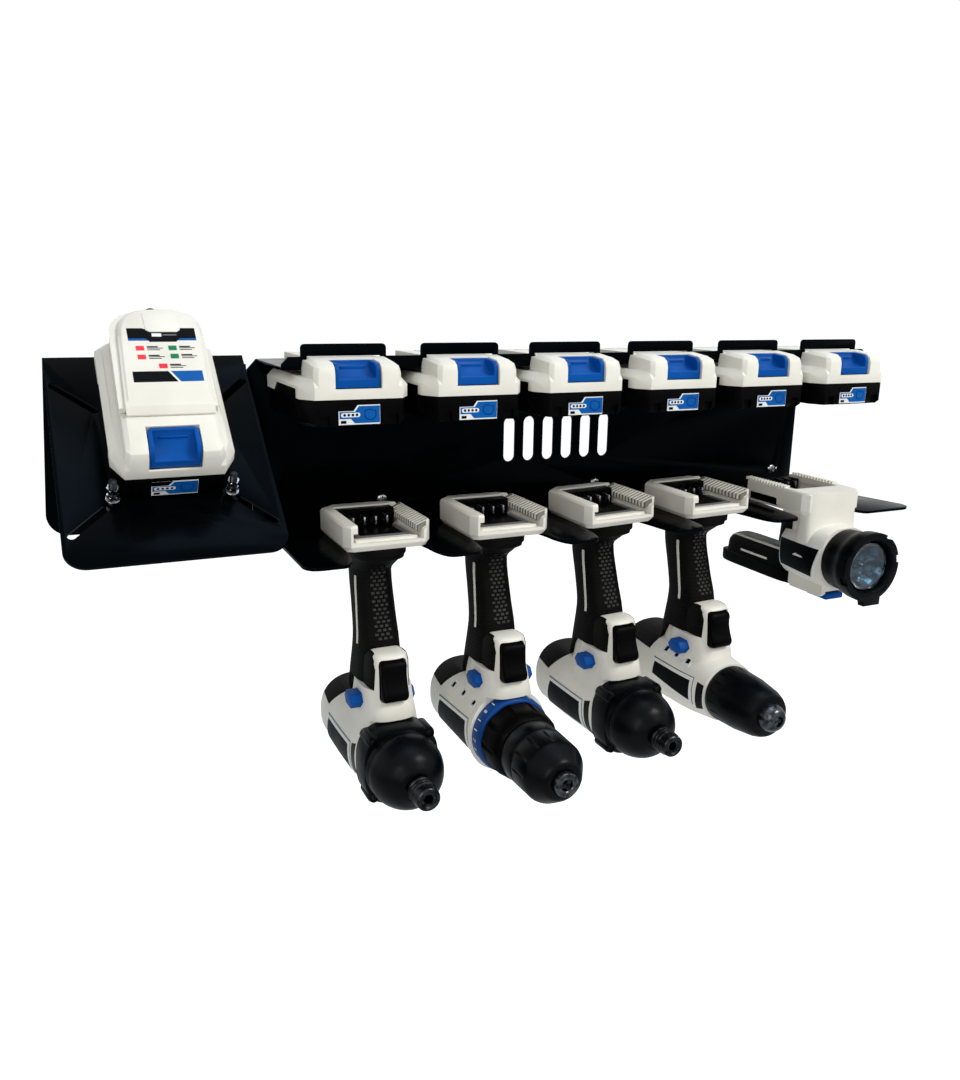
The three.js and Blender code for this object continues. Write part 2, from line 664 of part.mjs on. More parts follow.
// Bit holder: ribbed sleeve on the anvil, with a hexagonal socket
function bitHolder() {
  const profile = [[-150.5, 7.6], [-170, 7.6], [-170, 9.8]];
  for (let i = 0; i < 3; i += 1) {
    const y = -173 - 3.6 * i;
    profile.push([y, 9.8], [y - 1, 8.4], [y - 2, 9.8]);
  }
  profile.push([-184, 9], [-188, 8.8], [-189, 7.4]);
  return cut(turned(profile, BODY_AXIS, 10), rod(3.9, -190, -176, BODY_AXIS, 6));
}

// Torque ring of the hammer drill: a smooth dial band, then a faceted collar to grip
function torqueRing() {
  const band = turned([[-109.8, 32], [-119, 32], [-121.5, 30.6]], BODY_AXIS, 24);
  const collar = turned([[-121, 29.4], [-124, 30.4], [-141, 29], [-148, 26.4]], BODY_AXIS, 10);
  return cut(join(band, collar), rod(13, -150, -132, BODY_AXIS, 12));
}

function hammerChuck() {
  const sleeve = turned([
    [-137.5, 7.6], [-148.4, 7.6], [-148.4, 24], [-151, 25.6], [-186, 25], [-190, 23.4],
    [-200, 17], [-203, 13], [-203, 9.6], [-207.4, 9.6], [-208.6, 8.4],
  ], BODY_AXIS, 18);
  return cut(sleeve, rod(4.2, -210, -190, BODY_AXIS, 6));
}

function drillChuck() {
  const sleeve = turned([
    [-133.3, 24.2], [-137, 25], [-160, 24], [-178, 21.4], [-186, 18.4], [-187, 14.4],
    [-192, 13], [-196.5, 9.6], [-198.5, 6],
  ], DRILL_AXIS, 18);
  return cut(sleeve, rod(3.6, -200, -182, DRILL_AXIS, 6));
}

// A tool may hang a little to one side and lean in its slot, resting on one edge of its foot.
// Its direction selector is set over to one side, or stands in the middle.
function makeTool(name, k, kind, { shift = 0, lean = 0, set = -SELECTOR.throw } = {}) {
  const angle = THREE.MathUtils.degToRad(lean);
  const group = groupAt(toolX(k) + shift, 0, FOOT.half * Math.sin(angle));
  group.rotation.y = -angle;
  place(`${name}_housing`, housing(kind), SHELL_WHITE, group);
  place(`${name}_grip`, grip(kind), RUBBER, group);
  place(`${name}_trigger`, triggerForm(), CASE_BLACK, group);
  place(`${name}_selector`, selectorForm(SELECTOR.reach, 0, set), LATCH_BLUE, group);
  for (const [piece, form, material] of kind.nose) place(`${name}_${piece}`, form(), material, group);
}

const IMPACT_DRIVER = {
  body: IMPACT_BODY, axis: BODY_AXIS, noseFace: -113.5, noseRadius: 30.4, vents: [],
  nose: [['nose_cover', noseCover, CASE_BLACK], ['bit_holder', bitHolder, DARK_STEEL]],
};
const HAMMER_DRILL = {
  body: HAMMER_BODY, axis: BODY_AXIS, noseFace: -109.5, noseRadius: 32, vents: [-52, -68, -84],
  nose: [['torque_ring', torqueRing, LATCH_BLUE], ['chuck', hammerChuck, CASE_BLACK]],
};
const DRILL_DRIVER = {
  body: DRILL_BODY, axis: DRILL_AXIS, noseFace: -133, noseRadius: 25, vents: [-52, -68, -84],
  nose: [['chuck', drillChuck, CASE_BLACK]],
};

// Work light: foot and neck, head block, handle bar, bell-shaped head, lens and switch button
const LIGHT_FOOT = { rear: -47, front: -134.5, half: 31.2, top: 4.4 };
const LIGHT_NECK = [[-10, -108, 20, 22], [-30, -108, 20, 22], [-46, -110, 22, 24]];
const LIGHT_FRONT = [[4.4, -128, 8.4, 27], [-20, -128, 9, 27], [-34, -128, 11, 27.5], [-52, -128, 16, 29]];
const LIGHT_HEAD = [[-101, 25, 23], [-104, 27.4, 25.4], [-140, 28, 27.4], [-152.6, 26.6, 26.6]];
const LIGHT_SOLE = [[-104, -66], [-104, -83], [-107, -86], [-143, -86], [-146, -83], [-146, -66]];
const LIGHT_BAR = [
  [-86, -54, 50, 14.6], [-76, -54, 51, 15], [-75, -57, 47.5, 13], [-62, -58, 46, 12.4], [-57, -61, 42, 9],
];

function lightBody() {
  const { rear, half } = LIGHT_FOOT;
  const foot = footShell(LIGHT_FOOT);
  const neck = tower(LIGHT_NECK, 3, 12);
  const front = tower(LIGHT_FRONT, 4, 16);
  const head = barrel(LIGHT_HEAD, LIGHT_AXIS, 2.6, 18);
  const sole = across(LIGHT_SOLE, 15);
  const socket = footSocket(-112, rear + 5);
  const recess = block([-half - 1, -98, -11], [3 - half, -60, -5]);
  const seat = rod(11.4, -160, -150.5, LIGHT_AXIS, 12);
  const buttonRoom = block([-10.4, -148, -92], [10.4, -122, -81.4]);
  return cut(join(foot, neck, front, head, sole), ...socket, recess, seat, buttonRoom);
}

function lightGrip() {
  const bar = tower(LIGHT_BAR, 5, 16);
  const room = LIGHT_HEAD.map(([y, ...halves], i) => [i === 0 ? y + GAP : y, ...halves]);
  const soleRoom = block([-30, -150, -90], [30, GAP - 104, -66]);
  return cut(bar, barrel(room, LIGHT_AXIS, 2.6, 18, GAP), soleRoom);
}

function lightBell() {
  const bell = turned([
    [-150.8, 11], [-152.9, 11], [-152.9, 25.8], [-166, 26.8], [-175, 29.4], [BELL_FRONT, 29.8],
  ], LIGHT_AXIS, 24);
  const mouthProfile = [[BELL_FRONT - 1, 24], [BELL_FRONT + 3, 22.4], [-170, 21], [-160, 12]];
  const mouth = turned(mouthProfile, LIGHT_AXIS, 18);
  const tab = across([[-176, -74], [BELL_FRONT, -74], [BELL_FRONT, -84], [-178, -84]], 9, 4);
  return cut(join(bell, tab), mouth);
}

function lightLens() {
  return turned([[-176, 19.6], [-179.6, 20.4], [-180.4, 18]], LIGHT_AXIS, 18);
}

function makeLight() {
  const group = groupAt(toolX(4) + LIGHT_SHIFT, 0, 0);
  place('light_body', lightBody(), SHELL_WHITE, group);
  place('light_grip', lightGrip(), RUBBER, group);
  place('light_bell', lightBell(), CASE_BLACK, group);
  place('light_lens', lightLens(), LENS_CLEAR, group);
  place('light_button', block([-9.8, -146.6, -89], [9.8, -122.6, -84]), LATCH_BLUE, group);
}

makeRack();
makeChargingCorner();
for (let i = 0; i < PACK_COUNT; i += 1) {
  makePack(`pack_${i + 1}`, groupAt(packX(i), PACK_FRONT, PANEL_TOP));
}
makeTool('impact_driver_1', 0, IMPACT_DRIVER);
makeTool('hammer_drill', 1, HAMMER_DRILL, { set: 0 });
makeTool('impact_driver_2', 2, IMPACT_DRIVER, { shift: 0.5, lean: 1.9 });
makeTool('drill_driver', 3, DRILL_DRIVER, { shift: -1.5, lean: 1.3 });
makeLight();

export default part;
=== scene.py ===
"""Wall rack of cordless tools: packs on the upper shelf, drivers and a light below, charger on its easel.

Forms are drawn in millimetres, with +Z up and -Y out of the wall, and turned to metres in place().
"""
import json
import math
from functools import cache
from math import cos, pi, radians, sin

import bmesh
import bpy
from mathutils import Matrix, Vector

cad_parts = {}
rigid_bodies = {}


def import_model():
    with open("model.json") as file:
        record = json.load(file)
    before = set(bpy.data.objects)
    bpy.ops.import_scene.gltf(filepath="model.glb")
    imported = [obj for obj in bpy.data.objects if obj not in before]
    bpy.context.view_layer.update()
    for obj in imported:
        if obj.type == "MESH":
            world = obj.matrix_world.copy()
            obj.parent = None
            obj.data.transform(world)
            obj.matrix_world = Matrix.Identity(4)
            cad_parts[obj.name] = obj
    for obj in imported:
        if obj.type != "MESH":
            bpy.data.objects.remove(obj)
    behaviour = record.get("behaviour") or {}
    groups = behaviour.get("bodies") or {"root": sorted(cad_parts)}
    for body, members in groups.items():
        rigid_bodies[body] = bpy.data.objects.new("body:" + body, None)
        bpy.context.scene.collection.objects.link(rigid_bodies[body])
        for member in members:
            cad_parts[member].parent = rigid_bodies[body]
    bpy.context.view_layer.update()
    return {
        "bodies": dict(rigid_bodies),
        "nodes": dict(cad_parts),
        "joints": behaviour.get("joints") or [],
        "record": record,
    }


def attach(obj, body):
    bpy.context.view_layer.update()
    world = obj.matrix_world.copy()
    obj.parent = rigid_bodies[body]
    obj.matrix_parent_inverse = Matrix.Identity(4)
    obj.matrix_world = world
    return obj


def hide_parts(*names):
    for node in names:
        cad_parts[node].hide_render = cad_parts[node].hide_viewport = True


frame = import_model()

MM = 0.001
SIDES = (-1, 1)
THROUGH = 40  # half width of a form that cuts right through a pack or a tool

# Rack
SHEET = 2.5
GAP = 0.3
SHEET_FACE = -SHEET - GAP
PANEL_HALF = 267
PANEL_LEFT = -274.5
PANEL_TOP = 115.8
PANEL_BOTTOM = -17.8
LIP_FRONT = -85.7
LIP_TOP = PANEL_TOP + 6.7
TAB_TOP = PANEL_TOP + 15.4
TAB_HALF = 31.1
SHELF_FRONT = -136
SHELF_FLARE = 292
SCREW_XS = (-168, 36.8, 241.6)
SHEET_EDGE = 0.35

# Packs and the charging corner
PACK_COUNT = 6
PACK_PITCH = 88.9
PACK_FRONT = -119.7
HALF = 38.8
LOWER_HALF = 37.6
FRONT_HALF = 31
CASE_LENGTH = 115.5
CASE_BOTTOM = -38.2
SEAM = -20
DECK = -6
HUMP_REAR = 33.7
LEDGE = 28.6
RAIL_END = 105
LATCH_HALF = 16
LATCH_RIM = 3.2
TOOTH_HALF = 13.2
PLATE_X = -346.7
PLATE_HALF = 69.5
PLATE_FOLD = 117
PLATE_LENGTH = 181.5
PLATE_FLARE = 7.5
PLATE_REACH = 71.8
PLATE_SLOPE = radians(39.3)
CHARGER_X = -344.8
CHARGED_FRONT = 130.5
CHARGED_HEIGHT = 1.4
BOLT_X = -345.6
BOLT_HALF = 37.6
BOLT_DOWN = 131.5

# Tools
TOOL_PITCH = 99.16
BODY_AXIS = -175.5
DRILL_AXIS = -167
BODY_POWER = 2.3
GRIP_POWER = 2.6
FOOT = {"rear": -33, "front": -109.5, "half": 33.2, "top": 5}
FOOT_FLOOR = -8.8
FOOT_LIP = 23.6
FOOT_RAIL = 26.9
SELECTOR_Y, SELECTOR_Z = -92, -134
SELECTOR_HALF = 25.5
TRIGGER_HALF = 10.2
BOSS = 22
BOSSES = [(BOSS * a, 0, BOSS * b) for a in SIDES for b in SIDES]
LIGHT_AXIS = -50.5


# Materials

def filled(node, values):
    for name, value in values.items():
        node.inputs[name].default_value = value
    return node


def new_node(tree, kind, **values):
    """A shader node; its values are named as its inputs are, with _ for a space."""
    return filled(tree.nodes.new("ShaderNode" + kind), {k.replace("_", " "): v for k, v in values.items()})


def linked(tree, *pairs):
    for source, target in pairs:
        tree.links.new(source, target)


def srgb(*colour):
    shares = [value / 255 for value in colour]
    return (*[v / 12.92 if v <= 0.04045 else ((v + 0.055) / 1.055) ** 2.4 for v in shares], 1)


def new_material(name, dark, light, tones, roughness, specular=0.5, metallic=0.0):
    """Its two colours are spread by noise; tones holds that noise's grain and detail."""
    made = bpy.data.materials.new(name)
    made.use_nodes = True
    tree = made.node_tree
    values = {"Roughness": roughness, "Metallic": metallic, "Specular IOR Level": specular}
    shader = filled(tree.nodes["Principled BSDF"], values)
    ramp = new_node(tree, "ValToRGB")
    for stop, position, colour in zip(ramp.color_ramp.elements, (0.35, 0.65), (dark, light)):
        stop.position = position
        stop.color = srgb(*colour)
    linked(tree, (noise(tree, *tones), ramp.inputs["Fac"]),
           (ramp.outputs["Color"], shader.inputs["Base Color"]))
    return made, tree, shader


def noise(tree, per_mm, detail=2.0):
    """Noise with its grain given in cells per millimetre, fixed to the object."""
    grain = new_node(tree, "TexNoise", Scale=per_mm / MM, Detail=detail)
    linked(tree, (new_node(tree, "TexCoord").outputs["Object"], grain.inputs["Vector"]))
    return grain.outputs["Fac"]


def uneven_gloss(tree, shader, per_mm, low, high):
    ranged = new_node(tree, "MapRange", From_Min=0.3, From_Max=0.7, To_Min=low, To_Max=high)
    linked(tree, (noise(tree, per_mm), ranged.inputs["Value"]),
           (ranged.outputs["Result"], shader.inputs["Roughness"]))


def bump(tree, shader, value, strength, depth):
    made = new_node(tree, "Bump", Strength=strength, Distance=depth * MM)
    linked(tree, (value, made.inputs["Height"]), (made.outputs["Normal"], shader.inputs["Normal"]))


def plastic(name, dark, light, roughness, specular=0.4, strength=0.25):
    """Moulded plastic: fine spark-eroded grain, slight unevenness in tone and gloss."""
    made, tree, shader = new_material(name, dark, light, (0.03, 3), roughness, specular)
    uneven_gloss(tree, shader, 0.08, roughness - 0.05, roughness + 0.07)
    bump(tree, shader, noise(tree, 1.2, 1), strength, 0.08)
    return made


def printed(name, dark, light, roughness=0.4, specular=0.4):
    return plastic(name, dark, light, roughness, specular, 0.05)


def rubber():
    """Soft grip: fine ridges running round the handle, over a dull grain."""
    made, tree, shader = new_material("rubber_grip", (4, 4, 4), (10, 10, 9), (0.05,), 0.62, 0.06)
    ridges = new_node(tree, "TexWave", Scale=0.1 / MM, Distortion=0.4)
    ridges.bands_direction = "Z"
    linked(tree, (new_node(tree, "TexCoord").outputs["Object"], ridges.inputs["Vector"]))
    bump(tree, shader, ridges.outputs["Fac"], 0.5, 0.35)
    return made


def powder_coat():
    """Gloss black powder coat with a faint orange peel and a bluish sheen."""
    made, tree, shader = new_material("powder_coat", (1, 1, 2), (3, 4, 6), (0.02,), 0.22, 0.03)
    filled(shader, {"Specular Tint": (0.5, 0.78, 1.0, 1)})
    uneven_gloss(tree, shader, 0.05, 0.17, 0.27)
    bump(tree, shader, noise(tree, 0.45), 0.12, 0.12)
    return made


def metal(name, dark, light, roughness, grain=0.09):
    made, tree, shader = new_material(name, dark, light, (0.25, 3), roughness, metallic=1.0)
    uneven_gloss(tree, shader, 0.4, roughness - 0.08, roughness + 0.12)
    bump(tree, shader, noise(tree, 2.0, 1), grain, 0.03)
    return made


def clear_lens():
    made, _, shader = new_material("clear_lens", (214, 228, 238), (240, 246, 250), (0.05,), 0.04, 0.15)
    filled(shader, {"Transmission Weight": 1.0, "IOR": 1.45})
    return made


WHITE = plastic("white_plastic", (230, 227, 217), (237, 234, 225), 0.42, 0.3)
BLACK = plastic("black_plastic", (1, 1, 1), (4, 4, 5), 0.42, 0.035)
# The faint blue in this black is a painted sheen.
GLOSS_BLACK = plastic("gloss_black", (1, 2, 4), (4, 7, 11), 0.32, 0.08, 0.1)
BLUE = plastic("blue_plastic", (3, 72, 150), (6, 82, 166), 0.36, 0.08)
RING_BLUE = plastic("ring_blue", (4, 58, 122), (8, 66, 136), 0.4, 0.2)
RUBBER = rubber()
COAT = powder_coat()
STEEL = metal("plated_steel", (150, 152, 156), (205, 207, 210), 0.24)
STEEL_GREY = metal("steel_grey", (34, 38, 42), (84, 88, 92), 0.2)
BOLT_STEEL = metal("bolt_steel", (92, 94, 98), (188, 190, 194), 0.22)
DARK_STEEL = metal("dark_steel", (20, 21, 24), (48, 50, 53), 0.3)
# Dark and bluish: a painted reflection of dark surroundings on the reflector's metal.
MIRROR = metal("reflector", (14, 28, 38), (72, 96, 108), 0.1, 0.015)
LENS = clear_lens()
PRINT_WHITE = printed("print_white", (226, 229, 230), (236, 238, 238))
PRINT_BLUE = printed("print_blue", (8, 84, 160), (14, 94, 172), specular=0.08)
PRINT_NAVY = printed("print_navy", (4, 52, 120), (6, 60, 132), specular=0.08)
PRINT_BLACK = printed("print_black", (2, 3, 5), (5, 6, 9), specular=0.04)
# Grey for print, and for the painted shade of the groove round the tools' side plates.
PRINT_AND_SHADE_GREY = printed("print_and_shade_grey", (84, 86, 88), (104, 106, 108), 0.5)
RIB_SHADE = plastic("rib_shade", (112, 110, 102), (130, 128, 120), 0.5, 0.1)
# Studs paler than the grip's rubber: painted glints on them.
STUD = plastic("rubber_stud", (20, 20, 19), (32, 32, 30), 0.38)
LED_RED = printed("led_red", (236, 44, 62), (246, 60, 76), 0.3, 0.1)
LED_GREEN = printed("led_green", (6, 122, 74), (12, 134, 84), 0.3, 0.1)

FINISHES = {
    "powder_coat": (COAT,),
    "white_plastic": (WHITE, PRINT_WHITE),
    "black_plastic": (BLACK, GLOSS_BLACK, PRINT_BLACK, PRINT_AND_SHADE_GREY),
    "blue_plastic": (BLUE, RING_BLUE),
    "rubber_grip": (RUBBER, STUD),
    "plated_steel": (STEEL, BOLT_STEEL, MIRROR),
    "dark_steel": (DARK_STEEL, STEEL_GREY),
    "clear_lens": (LENS,),
}
SLOTS = {material.name: slot for slot, materials in FINISHES.items() for material in materials}


# Forms: closed meshes in millimetres

def form(points, faces):
    mesh = bpy.data.meshes.new("form")
    mesh.from_pydata([tuple(p) for p in points], [], faces)
    work = bmesh.new()
    work.from_mesh(mesh)
    bmesh.ops.remove_doubles(work, verts=work.verts, dist=1e-4)
    bmesh.ops.recalc_face_normals(work, faces=work.faces)
    work.to_mesh(mesh)
    work.free()
    return mesh


def skin_faces(count, rings):
    """Faces between neighbouring rings; a ring past the last is the first again."""
    faces = []
    for r in range(rings):
        up = r + 1
        faces += [(r * count + i, r * count + (i + 1) % count, up * count + (i + 1) % count, up * count + i)
                  for i in range(count)]
    return faces


def loft(rings):
    """A skin through rings of equal counts, capped at both ends."""
    count = len(rings[0])
    last = (len(rings) - 1) * count
    caps = [tuple(reversed(range(count))), tuple(range(last, last + count))]
    return form([p for ring in rings for p in ring], skin_faces(count, len(rings) - 1) + caps)


def prism(points, low, high, lay):
    """A flat outline given thickness; lay(a, b, t) sets how it lies."""
    return loft([[lay(a, b, t) for a, b in points] for t in (low, high)])


def slab(points, low, high):
    return prism(points, low, high, lambda x, y, z: (x, y, z))


def upright(points, back, front):
    return prism(points, back, front, lambda x, z, y: (x, y, z))


def across(points, half, middle=0):
    return prism(points, middle - half, middle + half, lambda y, z, x: (x, y, z))


def rectangle(left, low, right, high):
    return [(left, low), (right, low), (right, high), (left, high)]


def block(low, high):
    return slab(rectangle(*low[:2], *high[:2]), low[2], high[2])


def bar(half, low, high):
    """A block centred on the YZ plane; low and high are (y, z)."""
    return block((-half, *low), (half, *high))


def arc(x, y, radius, start, end, steps=10):
    turns = [radians(start + (end - start) * i / steps) for i in range(steps + 1)]
    return [(x + radius * cos(turn), y + radius * sin(turn)) for turn in turns]


def curve(start, handle, end, steps=10):
    """Points on a quadratic curve."""
    shares = [i / steps for i in range(steps + 1)]
    return [between(between(start, handle, t), between(handle, end, t), t) for t in shares]


def between(a, b, t):
    return tuple(p + (q - p) * t for p, q in zip(a, b))


def mirrored(right):
    """An outline from its right half."""
    return right + [(-x, y) for x, y in reversed(right)]


def angles(count):
    return [2 * pi * i / count for i in range(count)]


def roundish(half_a, half_b, power, sides):
    """Points round a rounded rectangle; a higher power makes its corners squarer."""

    def reach(half, share):
        return math.copysign(half * abs(share) ** (2 / power), share)

    return [(reach(half_a, cos(angle + pi / sides)), reach(half_b, sin(angle + pi / sides)))
            for angle in angles(sides)]


def eased(levels, steps=4):
    """Levels with more put between them on curves that don't overshoot; the first value leads."""
    rises = [[(q - p) / (b[0] - a[0]) for p, q in zip(a, b)] for a, b in zip(levels, levels[1:])]
    slopes = [rises[0]]
    for before, after in zip(rises, rises[1:]):
        slopes.append([0 if p * q <= 0 else 2 * p * q / (p + q) for p, q in zip(before, after)])
    slopes.append(rises[-1])
    out = []
    for a, b, slope_a, slope_b in zip(levels, levels[1:], slopes, slopes[1:]):
        run = b[0] - a[0]
        for t in (s / steps for s in range(steps)):
            at_b, lead, trail = 3 * t**2 - 2 * t**3, (t**3 - 2 * t**2 + t) * run, (t**3 - t**2) * run
            out.append([(1 - at_b) * p + lead * m + at_b * q + trail * n
                        for p, m, q, n in zip(a, slope_a, b, slope_b)])
    return out + [levels[-1]]


def tower(levels, power=2.6, sides=48, grow=0.0):
    return loft([[(a, y + b, z) for a, b in roundish(half_x + grow, half_y + grow, power, sides)]
                 for z, y, half_y, half_x in levels])


def barrel(stations, axis, power=BODY_POWER, grow=0.0):
    return loft([[(a, y, axis + b) for a, b in roundish(half_x + grow, half_z + grow, power, 64)]
                 for y, half_x, half_z in stations])


def turned(profile, sides=64):
    """A turned form round the Y axis; its profile is a list of (y, radius)."""
    return loft([[(r * cos(angle), y, r * sin(angle)) for angle in angles(sides)] for y, r in profile])


def rod(radius, start, end, sides=32):
    return turned([(start, radius), (end, radius)], sides)


def moved(mesh, x=0, y=0, z=0):
    mesh.transform(Matrix.Translation((x, y, z)))
    return mesh


def turned_by(mesh, angle, axis):
    mesh.transform(Matrix.Rotation(angle, 4, axis))
    return mesh


def copies(mesh, *spots):
    return [moved(mesh.copy(), *spot) for spot in spots]


def round_axis(mesh, count, radius):
    return copies(mesh, *[(radius * cos(angle), 0, radius * sin(angle)) for angle in angles(count)])


def put(name, data):
    made = bpy.data.objects.new(name, data)
    bpy.context.scene.collection.objects.link(made)
    return made


def applied(data, modify=lambda holder: None):
    """The mesh of an object that holds this data, after the modifiers that modify() puts on it."""
    holder = put("holder", data)
    modify(holder)
    shown = holder.evaluated_get(bpy.context.evaluated_depsgraph_get())
    made = bpy.data.meshes.new_from_object(shown)
    bpy.data.objects.remove(holder)
    return made


def combined(mesh, others, operation):
    holders = [put("cutter", other) for other in others]

    def modify(target):
        for holder in holders:
            step = target.modifiers.new("step", "BOOLEAN")
            step.object = holder
            step.operation = operation
            step.solver = "MANIFOLD"

    made = applied(mesh, modify)
    for holder in holders:
        bpy.data.objects.remove(holder)
    return made


def join(first, *others):
    return combined(first, others, "UNION")


def cut(first, *others):
    return combined(first, others, "DIFFERENCE")


def common(first, *others):
    return combined(first, others, "INTERSECT")


def softened(mesh, width, segments=2):
    """The mesh with its flat faces made whole and its sharp edges rounded."""
    work = bmesh.new()
    work.from_mesh(mesh)
    bmesh.ops.remove_doubles(work, verts=work.verts, dist=0.02)
    bmesh.ops.dissolve_limit(work, angle_limit=radians(0.6), verts=work.verts, edges=work.edges)
    work.to_mesh(mesh)
    work.free()

    def modify(target):
        bevel = target.modifiers.new("bevel", "BEVEL")
        bevel.width = width
        bevel.segments = segments
        bevel.limit_method = "ANGLE"
        bevel.angle_limit = radians(34)

    return applied(mesh, modify)


def together(*meshes):
    """Several closed meshes as one, kept apart, with their materials."""
    work = bmesh.new()
    materials = []
    for mesh in meshes:
        start = len(work.faces)
        work.from_mesh(mesh)
        work.faces.ensure_lookup_table()
        for face in work.faces[start:]:
            source = mesh.materials[face.material_index] if mesh.materials else None
            if source not in materials:
                materials.append(source)
            face.material_index = materials.index(source)
    made = bpy.data.meshes.new("together")
    work.to_mesh(made)
    work.free()
    for one in materials:
        made.materials.append(one)
    return made


def painted(mesh, material):
    mesh.materials.clear()
    mesh.materials.append(material)
    for face in mesh.polygons:
        face.material_index = 0
    return mesh


def place(name, mesh, finish, body, at=Matrix.Identity(4), node=None, smooth=38):
    """Puts a form into the scene in metres, on its body, standing for its CAD node.

    The finish is a material, or the name of a slot where the form has its own materials.
    """
    mesh = mesh.copy()
    mesh.name = name
    own = isinstance(finish, str)
    if not own:
        painted(mesh, finish)
    mesh.transform(Matrix.Scale(MM, 4) @ at)
    mesh.polygons.foreach_set("use_smooth", [True] * len(mesh.polygons))
    mesh.set_sharp_from_angle(angle=radians(smooth))
    made = put(name, mesh)
    if node:
        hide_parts(node)
    finish if own else SLOTS[finish.name]
    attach(made, body)


def skin(node, mesh, finish, body, at):
    """Places a form that stands for the CAD node of its name."""
    place(f"{node}_skin", mesh, finish, body, at, node)


def at_place(x, y, z, about_x=0.0, about_y=0.0):
    return Matrix.Translation((x, y, z)) @ Matrix.Rotation(about_x, 4, "X") @ Matrix.Rotation(about_y, 4, "Y")


# Camera, lights and floor

IMAGE_HEIGHT = 1080
FOCAL_PIXELS = 967.2104
CAMERA_PLACE = (-0.42057, -0.75404, 0.1677)
CAMERA_YAW = radians(-24.54666)
CAMERA_PITCH = radians(14.39462)
CAMERA_ROLL = radians(0.82521)
LAMPS = {
    "key": ((1.6, -2.0, 2.4), (-0.05, -0.1, 0), 1.2, 80, (1.0, 0.98, 0.92)),
    "front": ((-1.9, -2.2, 0.9), (-0.05, -0.1, 0), 1.4, 22, (1.0, 0.97, 0.9)),
    "sky": ((0.25, -0.15, 2.3), (-0.1, -0.1, 0), 1.2, 10, (0.62, 0.82, 1.0)),
}
FILL_COLOUR = (0.88, 0.94, 1.0, 1)
FILL_STRENGTH = 0.36
FLOOR_DROP = -1.1
FLOOR_REACH = 30
FLOOR_GLOW = 0.75


def make_camera():
    data = bpy.data.cameras.new("camera")
    data.sensor_width = 36
    data.lens = FOCAL_PIXELS * data.sensor_width / IMAGE_HEIGHT
    data.clip_end = 100
    camera = put("camera", data)
    aim = Matrix.Rotation(CAMERA_YAW, 4, "Z") @ Matrix.Rotation(pi / 2 - CAMERA_PITCH, 4, "X")
    camera.matrix_world = Matrix.Translation(CAMERA_PLACE) @ aim @ Matrix.Rotation(CAMERA_ROLL, 4, "Z")
    bpy.context.scene.camera = camera


def make_lamps():
    for name, (spot, aim, size, power, colour) in LAMPS.items():
        data = bpy.data.lights.new(name, "AREA")
        data.size = size
        data.energy = power
        data.color = colour
        lamp = put(name, data)
        lamp.location = spot
        lamp.rotation_mode = "QUATERNION"
        lamp.rotation_quaternion = (Vector(aim) - Vector(spot)).to_track_quat("-Z", "Y")


def make_world():
    """Soft grey fill for the object; white where the camera, gloss or glass looks past it."""
    world = bpy.data.worlds.new("studio")
    world.use_nodes = True
    bpy.context.scene.world = world
    tree = world.node_tree
    fill = filled(tree.nodes["Background"], {"Color": FILL_COLOUR, "Strength": FILL_STRENGTH})
    white = new_node(tree, "Background", Color=(1, 1, 1, 1), Strength=1.0)
    rays = new_node(tree, "LightPath")
    seen = rays.outputs["Is Camera Ray"]
    for kind in ("Is Glossy Ray", "Is Transmission Ray"):
        either = new_node(tree, "Math")
        either.operation = "MAXIMUM"
        linked(tree, (seen, either.inputs[0]), (rays.outputs[kind], either.inputs[1]))
        seen = either.outputs[0]
    mix = new_node(tree, "MixShader")
    linked(tree, *zip((seen, fill.outputs[0], white.outputs[0]), mix.inputs),
           (mix.outputs[0], tree.nodes["World Output"].inputs[0]))


def make_floor():
    """A pale floor well below the rack, lit to white for the camera, keeping the shadow."""
    mesh = bpy.data.meshes.new("floor")
    corners = rectangle(-FLOOR_REACH, -FLOOR_REACH, FLOOR_REACH, FLOOR_REACH)
    mesh.from_pydata([(x, y, FLOOR_DROP) for x, y in corners], [], [(0, 1, 2, 3)])
    made = bpy.data.materials.new("floor")
    made.use_nodes = True
    tree = made.node_tree
    shader = filled(tree.nodes["Principled BSDF"],
                    {"Base Color": (0.9, 0.9, 0.9, 1), "Roughness": 0.9, "Specular IOR Level": 0.1})
    strength = new_node(tree, "Math")
    strength.operation = "MULTIPLY"
    strength.inputs[1].default_value = FLOOR_GLOW
    glow = new_node(tree, "Emission")
    add = new_node(tree, "AddShader")
    linked(tree, (new_node(tree, "LightPath").outputs["Is Camera Ray"], strength.inputs[0]),
           (strength.outputs[0], glow.inputs["Strength"]),
           (shader.outputs[0], add.inputs[0]), (glow.outputs[0], add.inputs[1]),
           (add.outputs[0], tree.nodes["Material Output"].inputs[0]))
    mesh.materials.append(made)
    put("floor", mesh)


# Rack

def pack_x(i):
    return PACK_PITCH * (i - (PACK_COUNT - 1) / 2)


def tool_x(k):
    return TOOL_PITCH * (k - 2)


def back_panel():
    corner = 5
    sheet = upright([
        (PANEL_LEFT, PANEL_BOTTOM), (PANEL_HALF, PANEL_BOTTOM), (PANEL_HALF, PANEL_TOP - corner),
        (PANEL_HALF - corner, PANEL_TOP), (-PANEL_HALF, PANEL_TOP), (PANEL_LEFT, PANEL_TOP - 8),
    ], 0, -SHEET)
    holes = copies(rod(2.6, -5, 2), *[(x,) for x in SCREW_XS])
    pin = moved(rod(1.6, -5, 2), SCREW_XS[2] + 8.5)
    slot = upright(arc(0, 57.5, 5.5, 0, 180) + arc(0, 29.5, 5.5, 180, 360), 1, -4)
    slots = copies(slot, *[(19 * i - 50.5,) for i in range(6)])
    return softened(cut(sheet, *holes, pin, *slots), SHEET_EDGE)


